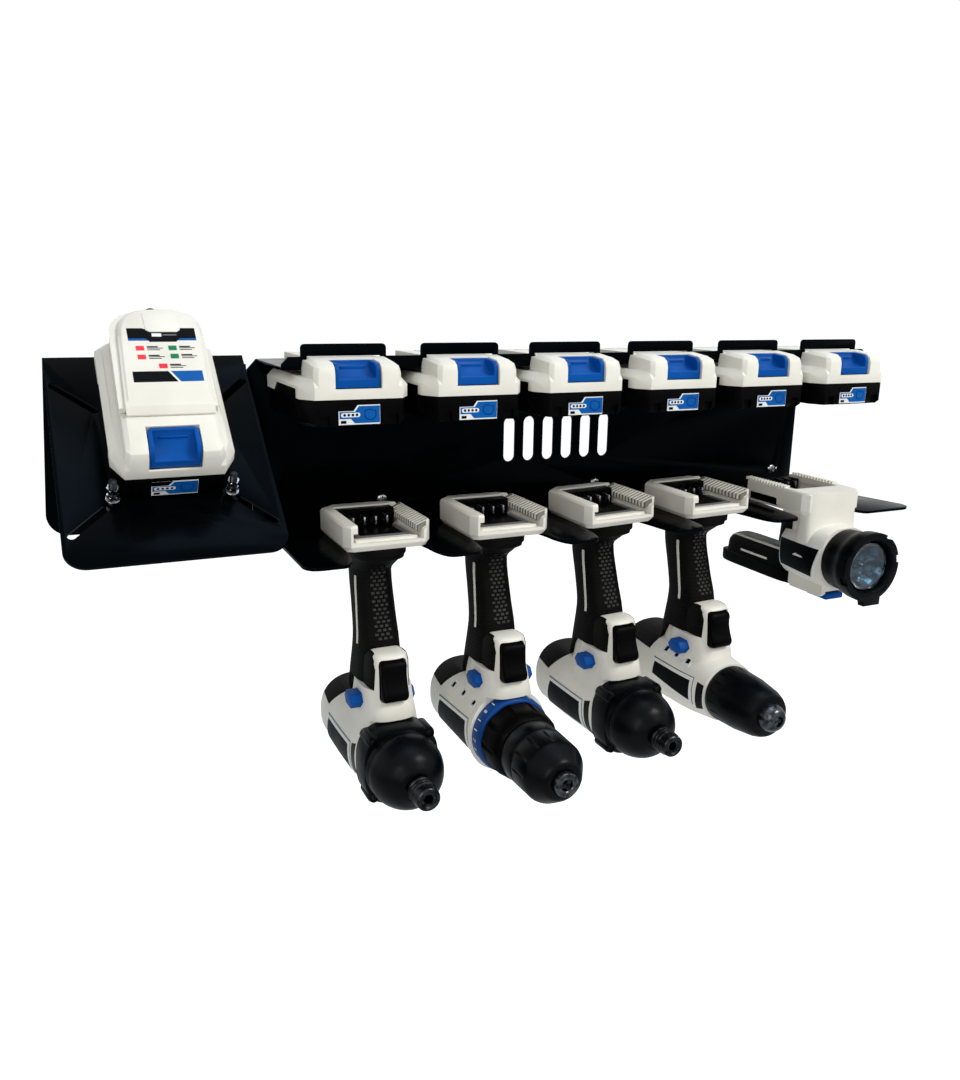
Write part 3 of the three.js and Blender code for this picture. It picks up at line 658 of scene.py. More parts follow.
def lip_outline():
    corner, tip = 5, 3
    points = [(PANEL_HALF, PANEL_TOP - SHEET), (PANEL_HALF, LIP_TOP - corner), (PANEL_HALF - corner, LIP_TOP)]
    for x in (pack_x(5), pack_x(4), pack_x(3)):
        tab = mirrored([(TAB_HALF, LIP_TOP)] + arc(TAB_HALF - tip, TAB_TOP - tip, tip, 0, 90, 5))
        points += [(x + a, z) for a, z in tab]
    return mirrored(points)


def battery_shelf():
    slot_rear = PACK_FRONT + RAIL_END + 1
    sheet = block((-PANEL_HALF, LIP_FRONT + 0.6, PANEL_TOP - SHEET), (PANEL_HALF, SHEET_FACE, PANEL_TOP))
    slot = bar(24.3, (LIP_FRONT - 1, PANEL_TOP - 4), (slot_rear, PANEL_TOP + 1))
    arch = bar(26.8, (LIP_FRONT - 1, PANEL_TOP), (LIP_FRONT + 4, PANEL_TOP + 7))
    spots = [(pack_x(i),) for i in range(PACK_COUNT)]
    shelf = join(sheet, upright(lip_outline(), LIP_FRONT + SHEET, LIP_FRONT))
    return softened(cut(shelf, *copies(slot, *spots), *copies(arch, *spots)), SHEET_EDGE)


def tool_shelf():
    slot = mirrored(curve((-42, SHELF_FRONT), (-32, SHELF_FRONT), (-30.5, -108), 12)
                    + [(-25, -70), (-25, -44), (-17, -36)])
    points = [(-PANEL_HALF, SHEET_FACE)]
    points += curve((-PANEL_HALF, -123), (-PANEL_HALF, SHELF_FRONT), (13 - PANEL_HALF, SHELF_FRONT))
    points += [(tool_x(k) + a, y) for k in range(5) for a, y in slot]
    points += curve((SHELF_FLARE - 13, SHELF_FRONT), (SHELF_FLARE, SHELF_FRONT), (SHELF_FLARE, -123))
    points.append((PANEL_HALF, SHEET_FACE))
    return softened(slab(points, PANEL_BOTTOM, PANEL_BOTTOM + SHEET), SHEET_EDGE)


def cross_recess(y, reach, half):
    """A cross-shaped driver recess, cut into a screw head that faces -Y."""
    return [bar(a, (y - 1, -b), (y + 1.6, b)) for a, b in ((reach, half), (half, reach))]


def wall_screw():
    thread = []
    for i in range(9):
        thread += [(16 - 2 * i, 2), (15.4 - 2 * i, 1.5)]
    head = [(SHEET_FACE - 2.4 * sin(radians(a)), 4.6 * cos(radians(a)) ** 0.5) for a in (20, 40, 60, 75, 85)]
    screw = turned([(22, 0.2), (17, 2)] + thread + [(SHEET_FACE, 2), (SHEET_FACE, 4.6)] + head, sides=40)
    return cut(screw, *cross_recess(SHEET_FACE - 2.4, 2.4, 0.5))


def diagonal_slot(start, end, radius=2.9):
    """A slot with round ends between two places on the sloped plate, each (x, distance down)."""
    run = math.degrees(math.atan2(start[1] - end[1], end[0] - start[0]))
    points = (arc(end[0], -end[1], radius, run + 90, run - 90, 8)
              + arc(start[0], -start[1], radius, run - 90, run - 270, 8))
    return slab(points, -SHEET - 1, 1)


def charger_plate():
    left, right, foot = -PLATE_HALF, PLATE_HALF, -PLATE_LENGTH
    leaf = slab([(right, 2), (left, 2)] + arc(left + 14, foot + 14, 14, 180, 270)
                + arc(right - 14, foot + 14, 14, 270, 360), -SHEET, 0)
    slots = []
    for side in SIDES:
        slots.append(diagonal_slot((side * 40, 50), (side * 64.5, 25.5)))
        slots.append(diagonal_slot((BOLT_X - PLATE_X + side * BOLT_HALF, BOLT_DOWN), (side * 63, 156)))
    leaf = cut(leaf, *slots)
    leaf.transform(at_place(0, -SHEET, PLATE_FOLD, PLATE_SLOPE))
    wall = upright([(right, PLATE_FOLD), (left, PLATE_FOLD)] + arc(left - PLATE_FLARE + 16, 6, 16, 180, 270)
                   + arc(PLATE_REACH - 6, -4, 6, 270, 360) + [(PLATE_REACH, 112), (right, 112)], 0, -SHEET)
    fold = across([(0, PLATE_FOLD - 4), (0, PLATE_FOLD + 0.6), (-0.5, PLATE_FOLD + 1.6),
                   (-SHEET, PLATE_FOLD), (-SHEET, PLATE_FOLD - 4)], PLATE_HALF)
    rear = bar(80, (0, PLATE_FOLD - 1), (6, PLATE_FOLD + 9))
    return softened(cut(join(leaf, wall, fold), rear), SHEET_EDGE)


def stop_bolt():
    """Standing bolt: head, threaded shank, washer, clamp nut and stop nut; its axis is along Y."""
    thread = []
    for i in range(22):
        thread += [(3 + 0.8 * i, 2.05), (3.4 + 0.8 * i, 2.5)]
    shank = turned([(-6.2, 3.6), (-5.6, 4.2), (-2.9, 4.2), (-2.9, 2.4)] + thread + [(20.5, 1.6)], sides=32)
    collar = turned([(0.3, 2.6), (0.3, 3.4), (3.1, 3.4), (3.1, 2.6)], sides=32)
    washer = turned([(3.2, 4.3), (3.4, 4.5), (4, 4.5), (4.2, 4.3)], sides=40)

    def nut(low, high):
        rounding = turned([(low, 3.7), (low + 0.35, 4.1), (high - 0.35, 4.1), (high, 3.7)], sides=40)
        return common(rod(4, low, high, 6), rounding)

    nuts = painted(together(washer, nut(4.2, 8), nut(10.8, 14.6)), BOLT_STEEL)
    return turned_by(together(nuts, painted(together(shank, collar), DARK_STEEL)), pi / 2, "X")


def make_rack():
    for node, mesh in (("back_panel", back_panel()), ("battery_shelf", battery_shelf()),
                       ("tool_shelf", tool_shelf())):
        place(f"rack_{node}", mesh, COAT, "rack", node=node)
    screw = wall_screw()
    for i, x in enumerate(SCREW_XS):
        node = f"wall_screw_{i + 1}"
        place(f"rack_{node}", screw, BOLT_STEEL, "rack", at_place(x, 0, 0), node)


# Packs

def on_leaf(x, down, height=0.0):
    return at_place(x, -SHEET, PLATE_FOLD, PLATE_SLOPE) @ at_place(0, -down, height)


def charged_place():
    return on_leaf(CHARGER_X, CHARGED_FRONT, CHARGED_HEIGHT - CASE_BOTTOM)


def stacked(levels):
    return loft([[(x, y, z) for x, y in points] for z, points in levels])


def case_outline(half, front, inset):
    rear, side = CASE_LENGTH - inset, half - inset
    return mirrored([(front, inset), (side, 12 + inset), (side, rear - 7), (side - 8, rear)])


def side_panels(grow):
    points = [(21 - grow, CASE_BOTTOM + 8), (21 - grow, SEAM + 6 + grow), (78 + grow, SEAM + 6 + grow),
              (86 + grow, SEAM + grow), (86 + grow, CASE_BOTTOM + 8)]
    return [across(points, 2.4 + grow, side * (HALF - 2.7)) for side in SIDES]


def lower_case():
    shell = stacked([
        (CASE_BOTTOM, case_outline(LOWER_HALF, FRONT_HALF - 2, 2.5)),
        (CASE_BOTTOM + 2.5, case_outline(LOWER_HALF, FRONT_HALF, 0.2)),
        (SEAM - GAP, case_outline(LOWER_HALF, FRONT_HALF, 0.2)),
    ])
    notches = []
    for side in SIDES:
        notches.append(moved(bar(3.6, (-1, CASE_BOTTOM - 1), (3.2, CASE_BOTTOM + 7.5)), side * 24.5))
        notches += [moved(bar(0.5, (y, CASE_BOTTOM + 5), (y + 0.8, SEAM - 2)), side * LOWER_HALF)
                    for y in (13.5, 15.4, 17.3, 19.2)]
    return softened(join(cut(shell, *notches), *side_panels(0)), 0.6)


def hump():
    rings = []
    for half, front, height, rise in ((31, 0, SEAM, 0), (31, 0, -3, 2), (30, 1.6, 1.4, 3), (27, 6, 3.6, 3.6)):
        points = mirrored([(half - 3, front), (half, front + 3), (half, HUMP_REAR)])
        rings.append([(x, y, height + rise * y / HUMP_REAR) for x, y in points])
    return loft(rings)


def upper_case():
    shell = stacked([
        (SEAM, case_outline(HALF, FRONT_HALF, 0)),
        (DECK - 5.5, case_outline(HALF, FRONT_HALF, 0)),
        (DECK, case_outline(HALF, FRONT_HALF, 4)),
    ])
    neck = bar(23, (HUMP_REAR - 3, DECK - 2), (RAIL_END, 1.3))
    rail = bar(26, (HUMP_REAR - 3, GAP), (RAIL_END, 6))
    half, link, rear = LATCH_HALF + 0.5, TOOTH_HALF + 0.5, HUMP_REAR + 1
    pocket = [
        bar(half, (1.5, -18.6), (21, 20)), bar(half, (-5, -13), (1.6, 20)),
        bar(link, (20.9, -5), (rear, 4.2)), bar(link, (LEDGE, 0), (rear, 20)),
        bar(THROUGH, (LEDGE, 4.6), (rear, 20)),
    ]
    terminals = copies(bar(1.6, (RAIL_END - 20, 1.6), (RAIL_END + 1, 7)), (-12,), (0,), (12,))
    grooves = copies(bar(0.4, (40, DECK - 0.6), (108, DECK + 1)), (-34.2,), (34.2,))
    body = cut(join(shell, neck, rail, hump()), *pocket, *terminals, *grooves, *side_panels(GAP))
    return softened(body, 1.0, 3)


def latch():
    """Thumb button: a bowl with a rim on three sides, its link under the bridge and its tooth."""
    outer = across([(1.9, -12.8), (20.4, -12.8), (20.4, 5.2), (6, 3.8), (2.8, 1), (1.9, -2.5)], LATCH_HALF)
    plan = mirrored([(LATCH_HALF, 0)] + arc(LATCH_HALF - 3.4, 17, 3.4, 0, 90))
    scoop = across([(0, 12), (18.4, 12)] + curve((18.4, 3), (14.5, -6), (0, -6.8)), LATCH_HALF - LATCH_RIM)
    bowl = softened(cut(common(outer, slab(plan, -15, 6)), scoop), 1.1, 4)
    ridge = softened(bar(9, (15.8, -1.6), (17.3, 1.2)), 0.4)
    link = across([(19.4, 0.6), (32.6, 0.6), (32.6, 5.9), (29.2, 5.9), (29.2, 3.7), (19.4, 3.7)], TOOTH_HALF)
    return together(bowl, ridge, softened(link, 0.5))


def flat_print(shapes, lay):
    """Printed shapes as thin plates. Each shape is (material, lift, outline)."""
    return together(*[painted(prism(points, -0.2, lift, lay), material) for material, lift, points in shapes])


def pack_label():
    """Gauge label on the pack's front: a white band with four charge dots, on blue."""
    low, high = CASE_BOTTOM + 1.2, SEAM - 3.8
    middle = (low + high) / 2
    shapes = [
        (PRINT_WHITE, 0.35, rectangle(-14.9, low, 14.5, high)),
        (PRINT_BLUE, 0.45, [(-14.3, high - 4.4), (-3.2, high - 4.4), (-0.6, high - 0.7), (14.3, high - 0.7),
                            (14.3, low + 0.9), (-3.6, low + 0.9), (-6.4, low + 4), (-14.3, low + 4)]),
        (PRINT_BLACK, 0.46, [(-14.9, high - 3.9), (-4.4, high - 3.9), (-1.6, high), (-14.9, high)]),
        (PRINT_WHITE, 0.52, arc(-11.8, middle, 1.5, 90, 270, 6) + arc(-1.2, middle, 1.5, -90, 90, 6)),
        (PRINT_BLACK, 0.52, rectangle(-13.4, low + 0.9, -9.6, low + 2.8)),
    ]
    shapes += [(PRINT_BLACK, 0.6, arc(-10.8 + 2.9 * i, middle, 1.0, 0, 330, 8)) for i in range(4)]
    shield = [(-4.3, 3), (-2.7, 3), (-2.7, 3.8), (1.3, 3.8), (1.3, 3), (4.3, 3), (4.3, -1.6), (1.9, -3.8),
              (-1.9, -3.8), (-4.3, -1.6)]
    for material, lift, wide, tall in ((PRINT_NAVY, 0.5, 1, 1), (PRINT_BLUE, 0.56, 0.8, 0.78)):
        shapes.append((material, lift, [(7.5 + x * wide, middle + z * tall) for x, z in shield]))
    return flat_print(shapes, lambda x, z, t: (x, 0.2 - t, z))


def make_packs():
    lower, upper, button, label = lower_case(), upper_case(), latch(), pack_label()
    spots = [(f"pack_{i + 1}", at_place(pack_x(i), PACK_FRONT, PANEL_TOP)) for i in range(PACK_COUNT)]
    for name, at in spots + [("charging_pack", charged_place())]:
        skin(f"{name}_lower_case", lower, BLACK, name, at)
        skin(f"{name}_upper_case", upper, WHITE, name, at)
        skin(f"{name}_latch", button, BLUE, f"{name}_latch_button", at)
        place(f"{name}_label", label, "white_plastic", name, at)


# Charger

CHARGER_FRONT = 34.1
CHARGER_REAR = 125.5
CHARGER_HALF = 30.6
COVER_HALF = 27.8
COVER_SEAM = 9
COVER_TOP = 15.2


def charger_plan(side, low, high, skew):
    """Seen from above: square at its open front, rounded at the rear, leaning over by the skew."""
    power, steps = 2.7, 14
    points = [(-side, low), (side, low)]
    for i in range(steps + 1):
        angle = pi * i / steps
        x = math.copysign(side * abs(cos(angle)) ** (2 / power), cos(angle))
        points.append((x, high - 26 + 26 * sin(angle) ** (2 / power)))
    return [(x + skew * (y - low) / (high - low), y) for x, y in points]


def charger_base():
    plan = charger_plan(CHARGER_HALF, CHARGER_FRONT, CHARGER_REAR, 1.2)
    body = stacked([(DECK + 0.5, plan), (COVER_SEAM, plan)])
    lip = across([(28.9, 6.3), (28.9, 8.2), (33.2, 11.8), (36, 11.8), (36, 6.3)], 27.4, 0.8)
    wall = moved(stacked([(-30, roundish(CHARGER_HALF - 12, 3.6, 3, 32)),
                          (DECK + 1, roundish(CHARGER_HALF - 6, 3.8, 3, 32))]), y=CHARGER_REAR - 4)
    groove = bar(23.7, (CHARGER_FRONT - 1, DECK), (RAIL_END + 0.5, 1))
    channel = bar(26.7, (CHARGER_FRONT - 1, 0), (RAIL_END + 0.5, 6.6))
    return softened(join(cut(body, groove, channel), wall, lip), 0.9, 3)


def charger_gland():
    profile = [(CHARGER_REAR - 4, 4.2)]
    for i in range(4):
        y, radius = CHARGER_REAR - 1.6 + 1.6 * i, 4.2 - 0.1 * i
        profile += [(y, radius), (y + 0.9, radius), (y + 0.9, 3.4), (y + 1.5, 3.4)]
    return moved(turned(profile[:-1], 32), z=4.4)


def cover_point(x, y, lift):
    """A place on the cover's top, which slopes down towards the front."""
    slope = 1 - (y - CHARGER_FRONT) / (CHARGER_REAR - CHARGER_FRONT)
    return (x, y, COVER_TOP - 3.2 * slope + lift)


def charger_cover():
    levels = [(COVER_SEAM + GAP, 0, 0, 0.5), (COVER_SEAM + 2.5, 0.3, 0.6, 1), (COVER_TOP - 1.4, 1.4, 2, 3.4),
              (COVER_TOP, 2.6, 4.4, 6)]
    rings = []
    for z, inset, front, rear in levels:
        plan = charger_plan(COVER_HALF - inset, CHARGER_FRONT + front, CHARGER_REAR - rear, 3)
        slopes = z > COVER_SEAM + 3
        rings.append([cover_point(x + 0.6, y, z - COVER_TOP) if slopes else (x + 0.6, y, z) for x, y in plan])
    return softened(loft(rings), 1.2, 4)


def cover_tab():
    """Shallow raised panel at the rear of the cover, with a step down to the printed header."""
    points = [(-7, 100.5), (-4.4, 98.4), (13.2, 98.4), (15.4, 100.5), (14.6, 116.4), (-7.6, 116.4)]
    return softened(prism(points, -1.2, 0.6, cover_point), 0.35)


def charger_prints():
    """Printed strips and indicator windows on the cover's sloping top."""
    header = [(-18.8, 92.6), (-7.6, 92.6), (-5.2, 89.4), (11.6, 89.4), (14, 92.6), (25, 92.6), (25, 102.2),
              (16, 102.2), (13.6, 99.8), (-6.4, 99.8), (-9, 102.2), (-18.8, 102.2)]
    shapes = [
        (PRINT_BLUE, 0.1, rectangle(-18.8, 90.6, 25, 101.6)),
        (PRINT_BLACK, 0.16, header),
        (PRINT_BLACK, 0.12, [(-19.4, 53.2), (8, 53.2), (2.8, 62.6), (-19.4, 62.6)]),
        (PRINT_BLUE, 0.12, [(9.8, 53.2), (24.4, 53.2), (24.4, 62.6), (4.6, 62.6)]),
        (PRINT_WHITE, 0.2, rectangle(-3.4, 94.2, 2.8, 97.2)),
        (PRINT_AND_SHADE_GREY, 0.2, rectangle(3.6, 95.2, 12.6, 96.4)),
    ]
    lamps = [(LED_RED, -14.8, 85.6), (LED_RED, -14.6, 77.6), (LED_GREEN, 5.8, 85.6), (LED_GREEN, 6.2, 78),
             (LED_RED, -2.2, 69.2)]
    for material, x, y in lamps:
        shapes.append((material, 0.25, rectangle(x, y - 4, x + 5.2, y)))
        for down, length, height in ((0.2, 7, 1.1), (1.7, 10, 0.6), (3.2, 8, 0.6)):
            shapes.append((PRINT_BLACK, 0.1, rectangle(x + 7, y - down - height, x + 7 + length, y - down)))
    return flat_print(shapes, cover_point)


def make_charging_corner():
    place("charger_easel", charger_plate(), COAT, "rack", at_place(PLATE_X, 0, 0), "charger_plate")
    bolt = stop_bolt()
    for side, word in ((-1, "left"), (1, "right")):
        skin(f"stop_bolt_{word}", bolt, "plated_steel", "rack", on_leaf(BOLT_X + side * BOLT_HALF, BOLT_DOWN))
    at = charged_place()
    skin("charger_base", charger_base(), WHITE, "charger", at)
    place("charger_gland", charger_gland(), BLACK, "charger", at)
    skin("charger_cover", charger_cover(), WHITE, "charger", at)
    place("charger_cover_tab", cover_tab(), WHITE, "charger", at)
    place("charger_prints", charger_prints(), "white_plastic", "charger", at)


# Tools

HANDLE_FLANGE = [(-15.3, -76, 30.5, 20.8), (-21, -76, 30.3, 20.5), (-21.01, -75.4, 28.6, 20.2),
                 (-25, -75, 28, 19.8)]
HANDLE = [(-28, -71, 25, 18), (-40, -62, 19.8, 15.2), (-70, -69, 20, 15.6), (-95, -75, 22, 16.6),
          (-130, -75, 28, 19.5), (-156, -70, 30, 21)]
CORE = [(-11, -66, 16, 13), (-40, -62, 16, 12), (-95, -75, 18, 13), (-156, -70, 26, 17)]
GUARD = [(-94.2, -103, 6, 8.4), (-94.9, -102.6, 9.6, 11.4), (-96.6, -102, 12.4, 13.6),
         (-101, -99.8, 16.6, 15), (-112, -97.5, 20, 15.4), (-128, -96, 22, 16.2), (-158, -92, 25, 18)]
SHOULDER = [(-122, -90, 24, 19.4), (-134, -91, 29, 20), (-146, -90, 31, 22.5), (-160, -88, 31, 25)]
GUARD_SIDES = [(-60, -122), (-111, -122), (-111.6, -106), (-109.6, -99), (-103, -93), (-60, -93)]
COVER_LOW = [(-66, -122), (-95, -122), (-95, -90), (10, -90)]
REAR_COVER = [(10, -156), (-34, -162), (-44, -149)] + COVER_LOW
DRILL_COVER = [(10, -147), (-52, -150), (-55, -139)] + COVER_LOW
REAR_STATIONS = [(-6, 21, 22), (-7, 24.4, 25.4), (-9, 27, 28), (-14, 29.4, 30.2), (-60, 30, 30.8)]
KINDS = {
    "impact": {
        "body": REAR_STATIONS + [(-113.5, 29, 29.8)], "axis": BODY_AXIS, "face": -113.5, "radius": 30.4,
        "cover": REAR_COVER, "plate": [(-43, -170), (-94, -170), (-94, -192), (-34, -194)],
        "bar": [(-100.5, -166.6), (-108, -164), (-108, -199), (-100.5, -199)], "vents": (),
    },
    "hammer": {
        "body": REAR_STATIONS + [(-98, 30.4, 31), (-105, 33, 33), (-109.5, 33.4, 33.4)],
        "axis": BODY_AXIS, "face": -109.5, "radius": 32,
        "cover": REAR_COVER, "plate": [(-39, -172), (-94, -168.4), (-94, -193), (-30, -193)],
        "bar": None, "vents": ((-52.2, -154), (-72.6, -153.4), (-93.8, -153.4)),
    },
    "drill": {
        "body": REAR_STATIONS + [(-95, 29.4, 30), (-133, 25.6, 25.6)],
        "axis": DRILL_AXIS, "face": -133, "radius": 25,
        "cover": DRILL_COVER, "plate": [(-66, -157), (-115.5, -157.6), (-115.7, -176), (-64, -169)],
        "bar": [(-123.8, -156.4), (-131.5, -157.2), (-131.2, -178.9), (-122.5, -181.6)],
        "vents": ((-71.9, -144), (-87, -144), (-103, -145)),
    },
}
TROUGH = [(22, -4), (23.5, -4), (31.6, 1), (31.6, 6), (22, 6)]
TROUGH_SHADE = [(23.7, -4.4), (31.8, 0.6), (31.8, 4.5), (23.7, 0)]


def foot_shell(rear, front, half, top):
    def plan(inset):
        side = half - inset
        return mirrored([(side - 11, rear - inset), (side, rear - 11), (side, front + 6),
                         (side - 4.5, front + inset)])
    return stacked([(-15, plan(3)), (-11, plan(0)), (top - 1.6, plan(0)), (top, plan(1.2))])


def foot_socket(low, high):
    return [bar(FOOT_LIP, (low, FOOT_FLOOR), (high, 12)), bar(FOOT_RAIL, (low, FOOT_FLOOR), (high, -1))]


def handle_core(grow):
    return tower(eased(CORE), 2.6, 32, grow)


def guard_form(grow):
    return join(tower(GUARD, 2.8, 40, grow), tower(SHOULDER, 3, 40, grow))


def body_form(kind, grow=0.0):
    return barrel(eased(kind["body"], 3), kind["axis"], grow=grow)


def selector_form(half_width, grow, middle=0.0):
    half, height = 10 + grow, 5.6 + grow
    edge = half * 0.6
    points = [(-half, 0), (-edge, -height), (edge, -height), (half, 0), (edge, height), (-edge, height)]
    return across([(SELECTOR_Y + y, SELECTOR_Z + z) for y, z in points], half_width, middle)


def trigger():
    points = [(-104, -98.6), (-104, -126), (-110, -130)] + curve((-119, -130), (-125, -129), (-124, -123))
    points += curve(points[-1], (-117.5, -111), (-119.5, -104))[1:]
    points += curve(points[-1], (-119, -98.6), (-113, -98.6))[1:]
    return softened(across(points, TRIGGER_HALF), 3, 4)


def seam_groove(kind):
    """A ring to cut round the body for a parting line."""
    outer = common(body_form(kind, 1), bar(60, (-24, -260), (-23.3, -100)))
    return cut(outer, body_form(kind, -0.6))


def housing(kind):
    body = cut(body_form(kind), across([(y, z - GAP) for y, z in kind["cover"]], THROUGH))
    socket = foot_socket(FOOT["front"] - 9, -44)
    foot = cut(foot_shell(**FOOT), *socket, upright(TROUGH, -40.5, -111))
    step = bar(FOOT_LIP, (-104.5, FOOT_FLOOR - 1), (-99, FOOT_FLOOR + 1.8))
    whole = join(body, guard_form(0), handle_core(0), foot, step)
    room = softened(bar(TRIGGER_HALF + 0.6, (-140, -130.5), (-95.5, -98)), 3.2, 4)
    nose = bar(THROUGH, (-160, -215), (kind["face"], kind["axis"] + kind["radius"] + 0.5))
    spots = [(22 * side, y, z) for side in SIDES for y, z in kind["vents"]]
    vents = copies(bar(5, (-3.6, -2.2), (3.6, 2.2)), *spots)
    whole = cut(whole, room, selector_form(THROUGH, 0.5), nose, seam_groove(kind), *vents)
    return softened(whole, 0.8, 3)


def grip(kind):
    handle = tower(HANDLE_FLANGE + eased(HANDLE), GRIP_POWER, 64)
    low, high = kind["cover"][1:3]
    cover = across(kind["cover"], THROUGH)
    sleeve = cut(handle, across([COVER_LOW[0], (-140, -122), (-140, -175), low, high], THROUGH))
    clear = cut(body_form(kind, GAP), cover)
    whole = join(cut(sleeve, clear), common(body_form(kind), cover))
    whole = cut(whole, handle_core(GAP), guard_form(GAP), selector_form(THROUGH, 0.5))
    return softened(whole, 0.6)


def guard_skin():
    """The grip's skin carried forward over both sides of the guard, up to its white rim."""
    room = bar(TRIGGER_HALF + 1, (-140, -135), (-60, -90))
    return softened(cut(common(guard_form(0.4), across(GUARD_SIDES, THROUGH)), room), 0.3)


def foot_ribs():
    """Comb of slanted ribs in the right rail's trough, with shade between them."""
    ribs = []
    for i in range(13):
        y = -43.4 - 4.7 * i
        ends = ((23.5, y, -4, 0.5), (31.9, y - 3.5, 0.8, 5))
        ribs.append(loft([[(x, *p) for p in rectangle(front, low, front - 2.4, high)]
                          for x, front, low, high in ends]))
    return together(painted(upright(TROUGH_SHADE, -40.7, -105), RIB_SHADE),
                    painted(softened(together(*ribs), 0.15), WHITE))


def comb(half, low, high):
    """Four narrow blocks side by side across a battery socket."""
    return copies(bar(half, low, high), *[(9 * i - 13.5,) for i in range(4)])


def foot_terminals():
    """Black terminal block at the rear of the socket, with its blades, and the plate on the floor."""
    block_form = cut(bar(22.6, (-55, FOOT_FLOOR), (-44, 3.8)), *comb(1.9, (-58, -7), (-52, 2)))
    plate = bar(20, (-97, FOOT_FLOOR), (-55, FOOT_FLOOR + 1))
    frame = cut(bar(20, (-97.4, FOOT_FLOOR), (-66, FOOT_FLOOR + 2.4)), bar(17, (-94.4, -20), (-60, 0)))
    return together(painted(softened(together(block_form, plate), 0.4), BLACK),
                    painted(softened(frame, 0.4), PRINT_AND_SHADE_GREY),
                    painted(softened(together(*comb(0.7, (-66, -6), (-54, 0.4))), 0.2), STEEL))


def grip_ring(z, low, high, lift):
    """Four points round a thin strip of the handle's skin between two angles.

    Angle 0 is the handle's front, and grows to its left.
    """
    levels = eased(HANDLE, 8)
    a, b = next(pair for pair in zip(levels, levels[1:]) if pair[1][0] <= z <= pair[0][0])
    _, y, half_y, half_x = between(a, b, (z - a[0]) / (b[0] - a[0]))
    ring = []
    for angle, out in ((low, -0.4), (high, -0.4), (high, lift), (low, lift)):
        c, s = cos(angle), sin(angle)
        reach = (abs(s / half_x) ** GRIP_POWER + abs(c / half_y) ** GRIP_POWER) ** (-1 / GRIP_POWER) + out
        ring.append((-s * reach, y - c * reach, z))
    return ring


def grip_studs():
    """Rows of small studs down the front of the handle, three abreast."""
    studs = []
    for row in range(19):
        z = -88.6 + 3 * row
        for column in range(-1, 2):
            middle = column * 0.2 + 0.05 * (-1) ** (row + 1)
            studs.append(loft([grip_ring(at, middle - 0.06, middle + 0.06, 0.55) for at in (z, z + 1.7)]))
    return together(*studs)


def grip_stripe():
    """Pale line down the left of the handle, drifting rearwards as it goes down."""
    turns = [1.02 + 0.018 * i for i in range(17)]
    rings = [grip_ring(-43 - 3.25 * i, turn - 0.08, turn + 0.08, 0.5) for i, turn in enumerate(turns)]
    return softened(loft(rings), 0.25)


def flank_patch(stations, axis, power, corners, lift, border=0.0, rows=16, columns=10):
    """A thin plate on a barrel's left flank, grown by its border.

    Corners are (y, z): upper rear, upper front, lower front, lower rear.
    """
    y0, z0 = (sum(values) / 4 for values in zip(*corners))
    grown = [(y + math.copysign(border, y - y0), z + math.copysign(border, z - z0)) for y, z in corners]

    def flank(y, z, out):
        _, half_x, half_z = stations[-1]
        for a, b in zip(stations, stations[1:]):
            if b[0] <= y <= a[0]:
                _, half_x, half_z = between(a, b, (y - a[0]) / (b[0] - a[0]))
                break
        share = min(1, abs((z - axis) / half_z))
        return (-half_x * (1 - share**power) ** (1 / power) - out, y, z)

    rings = []
    for i in range(rows + 1):
        top, low = between(grown[0], grown[1], i / rows), between(grown[3], grown[2], i / rows)
        line = [between(top, low, j / columns) for j in range(columns + 1)]
        rings.append([flank(*p, lift) for p in line] + [flank(*p, -0.5) for p in reversed(line)])
    return loft(rings)


def side_plate(kind, corners, *rest, **counts):
    """The same on a tool's body."""
    return flank_patch(eased(kind["body"], 3), kind["axis"], BODY_POWER, corners, *rest, **counts)


def nose_cover():
    flange = barrel([(-113.8, 29.8, 30.2), (-133, 29, 29.4)], 0, 2.9)
    dome = turned(eased([(-130, 29), (-144, 28.4), (-153, 26), (-162, 20.4), (-168, 11.5)]), 72)
    bosses = copies(turned([(-114, 4.6), (-131, 4.6), (-134, 3.6)], 24), *BOSSES)
    recesses = copies(rod(2.6, -136, -132), *BOSSES)
    line = cut(rod(THROUGH, -140.4, -139.8), rod(28.2, -142, -138))
    return softened(cut(join(flange, dome, *bosses), rod(8.2, -172, -150), line, *recesses), 0.7)


def nose_screws():
    head = cut(turned([(-131.5, 2.4), (-132.8, 2.4), (-133.3, 1.6)], 24), *cross_recess(-133.4, 1.5, 0.35))
    return together(*copies(head, *BOSSES))


def bit_holder():
    profile = [(-150.5, 7.6), (-170, 7.6), (-170, 9.6)]
    for y in (-173, -176.6, -180.2):
        profile += [(y + 0.6, 9.8), (y - 0.4, 9.8), (y - 1.1, 8.2), (y - 1.9, 8.2), (y - 2.5, 9.8)]
    profile += [(-184.6, 9), (-188, 8.8), (-189, 7.6), (-189, 6.2), (-187.6, 5.4)]
    return softened(cut(turned(profile), rod(3.9, -190, -176, 6)), 0.25)


def torque_ring():
    return softened(turned([(-109.8, 32), (-119, 32), (-121.5, 30.6), (-122, 28)], 96), 0.4)


def torque_collar():
    flats = turned([(-121.4, 29.4), (-124, 30.8), (-141, 29.6), (-148, 26.8)], 10)
    rounding = turned(eased([(-121.4, 28), (-124, 30), (-141, 28.8), (-146, 27.2), (-148, 24.8)], 3), 80)
    groove = turned(eased([(-124, 2.4), (-136, 2.6), (-149, 2.8)], 2), 20)
    return softened(cut(common(flats, rounding), rod(13, -150, -118), *round_axis(groove, 10, 30.8)), 0.6)


def wrapped(mesh, radius):
    """A flat mesh bent round the Y axis: x runs round the top, y along it, z out of it."""
    for vertex in mesh.vertices:
        x, y, z = vertex.co
        vertex.co = ((radius + z) * sin(x / radius), y, (radius + z) * cos(x / radius))
    return mesh


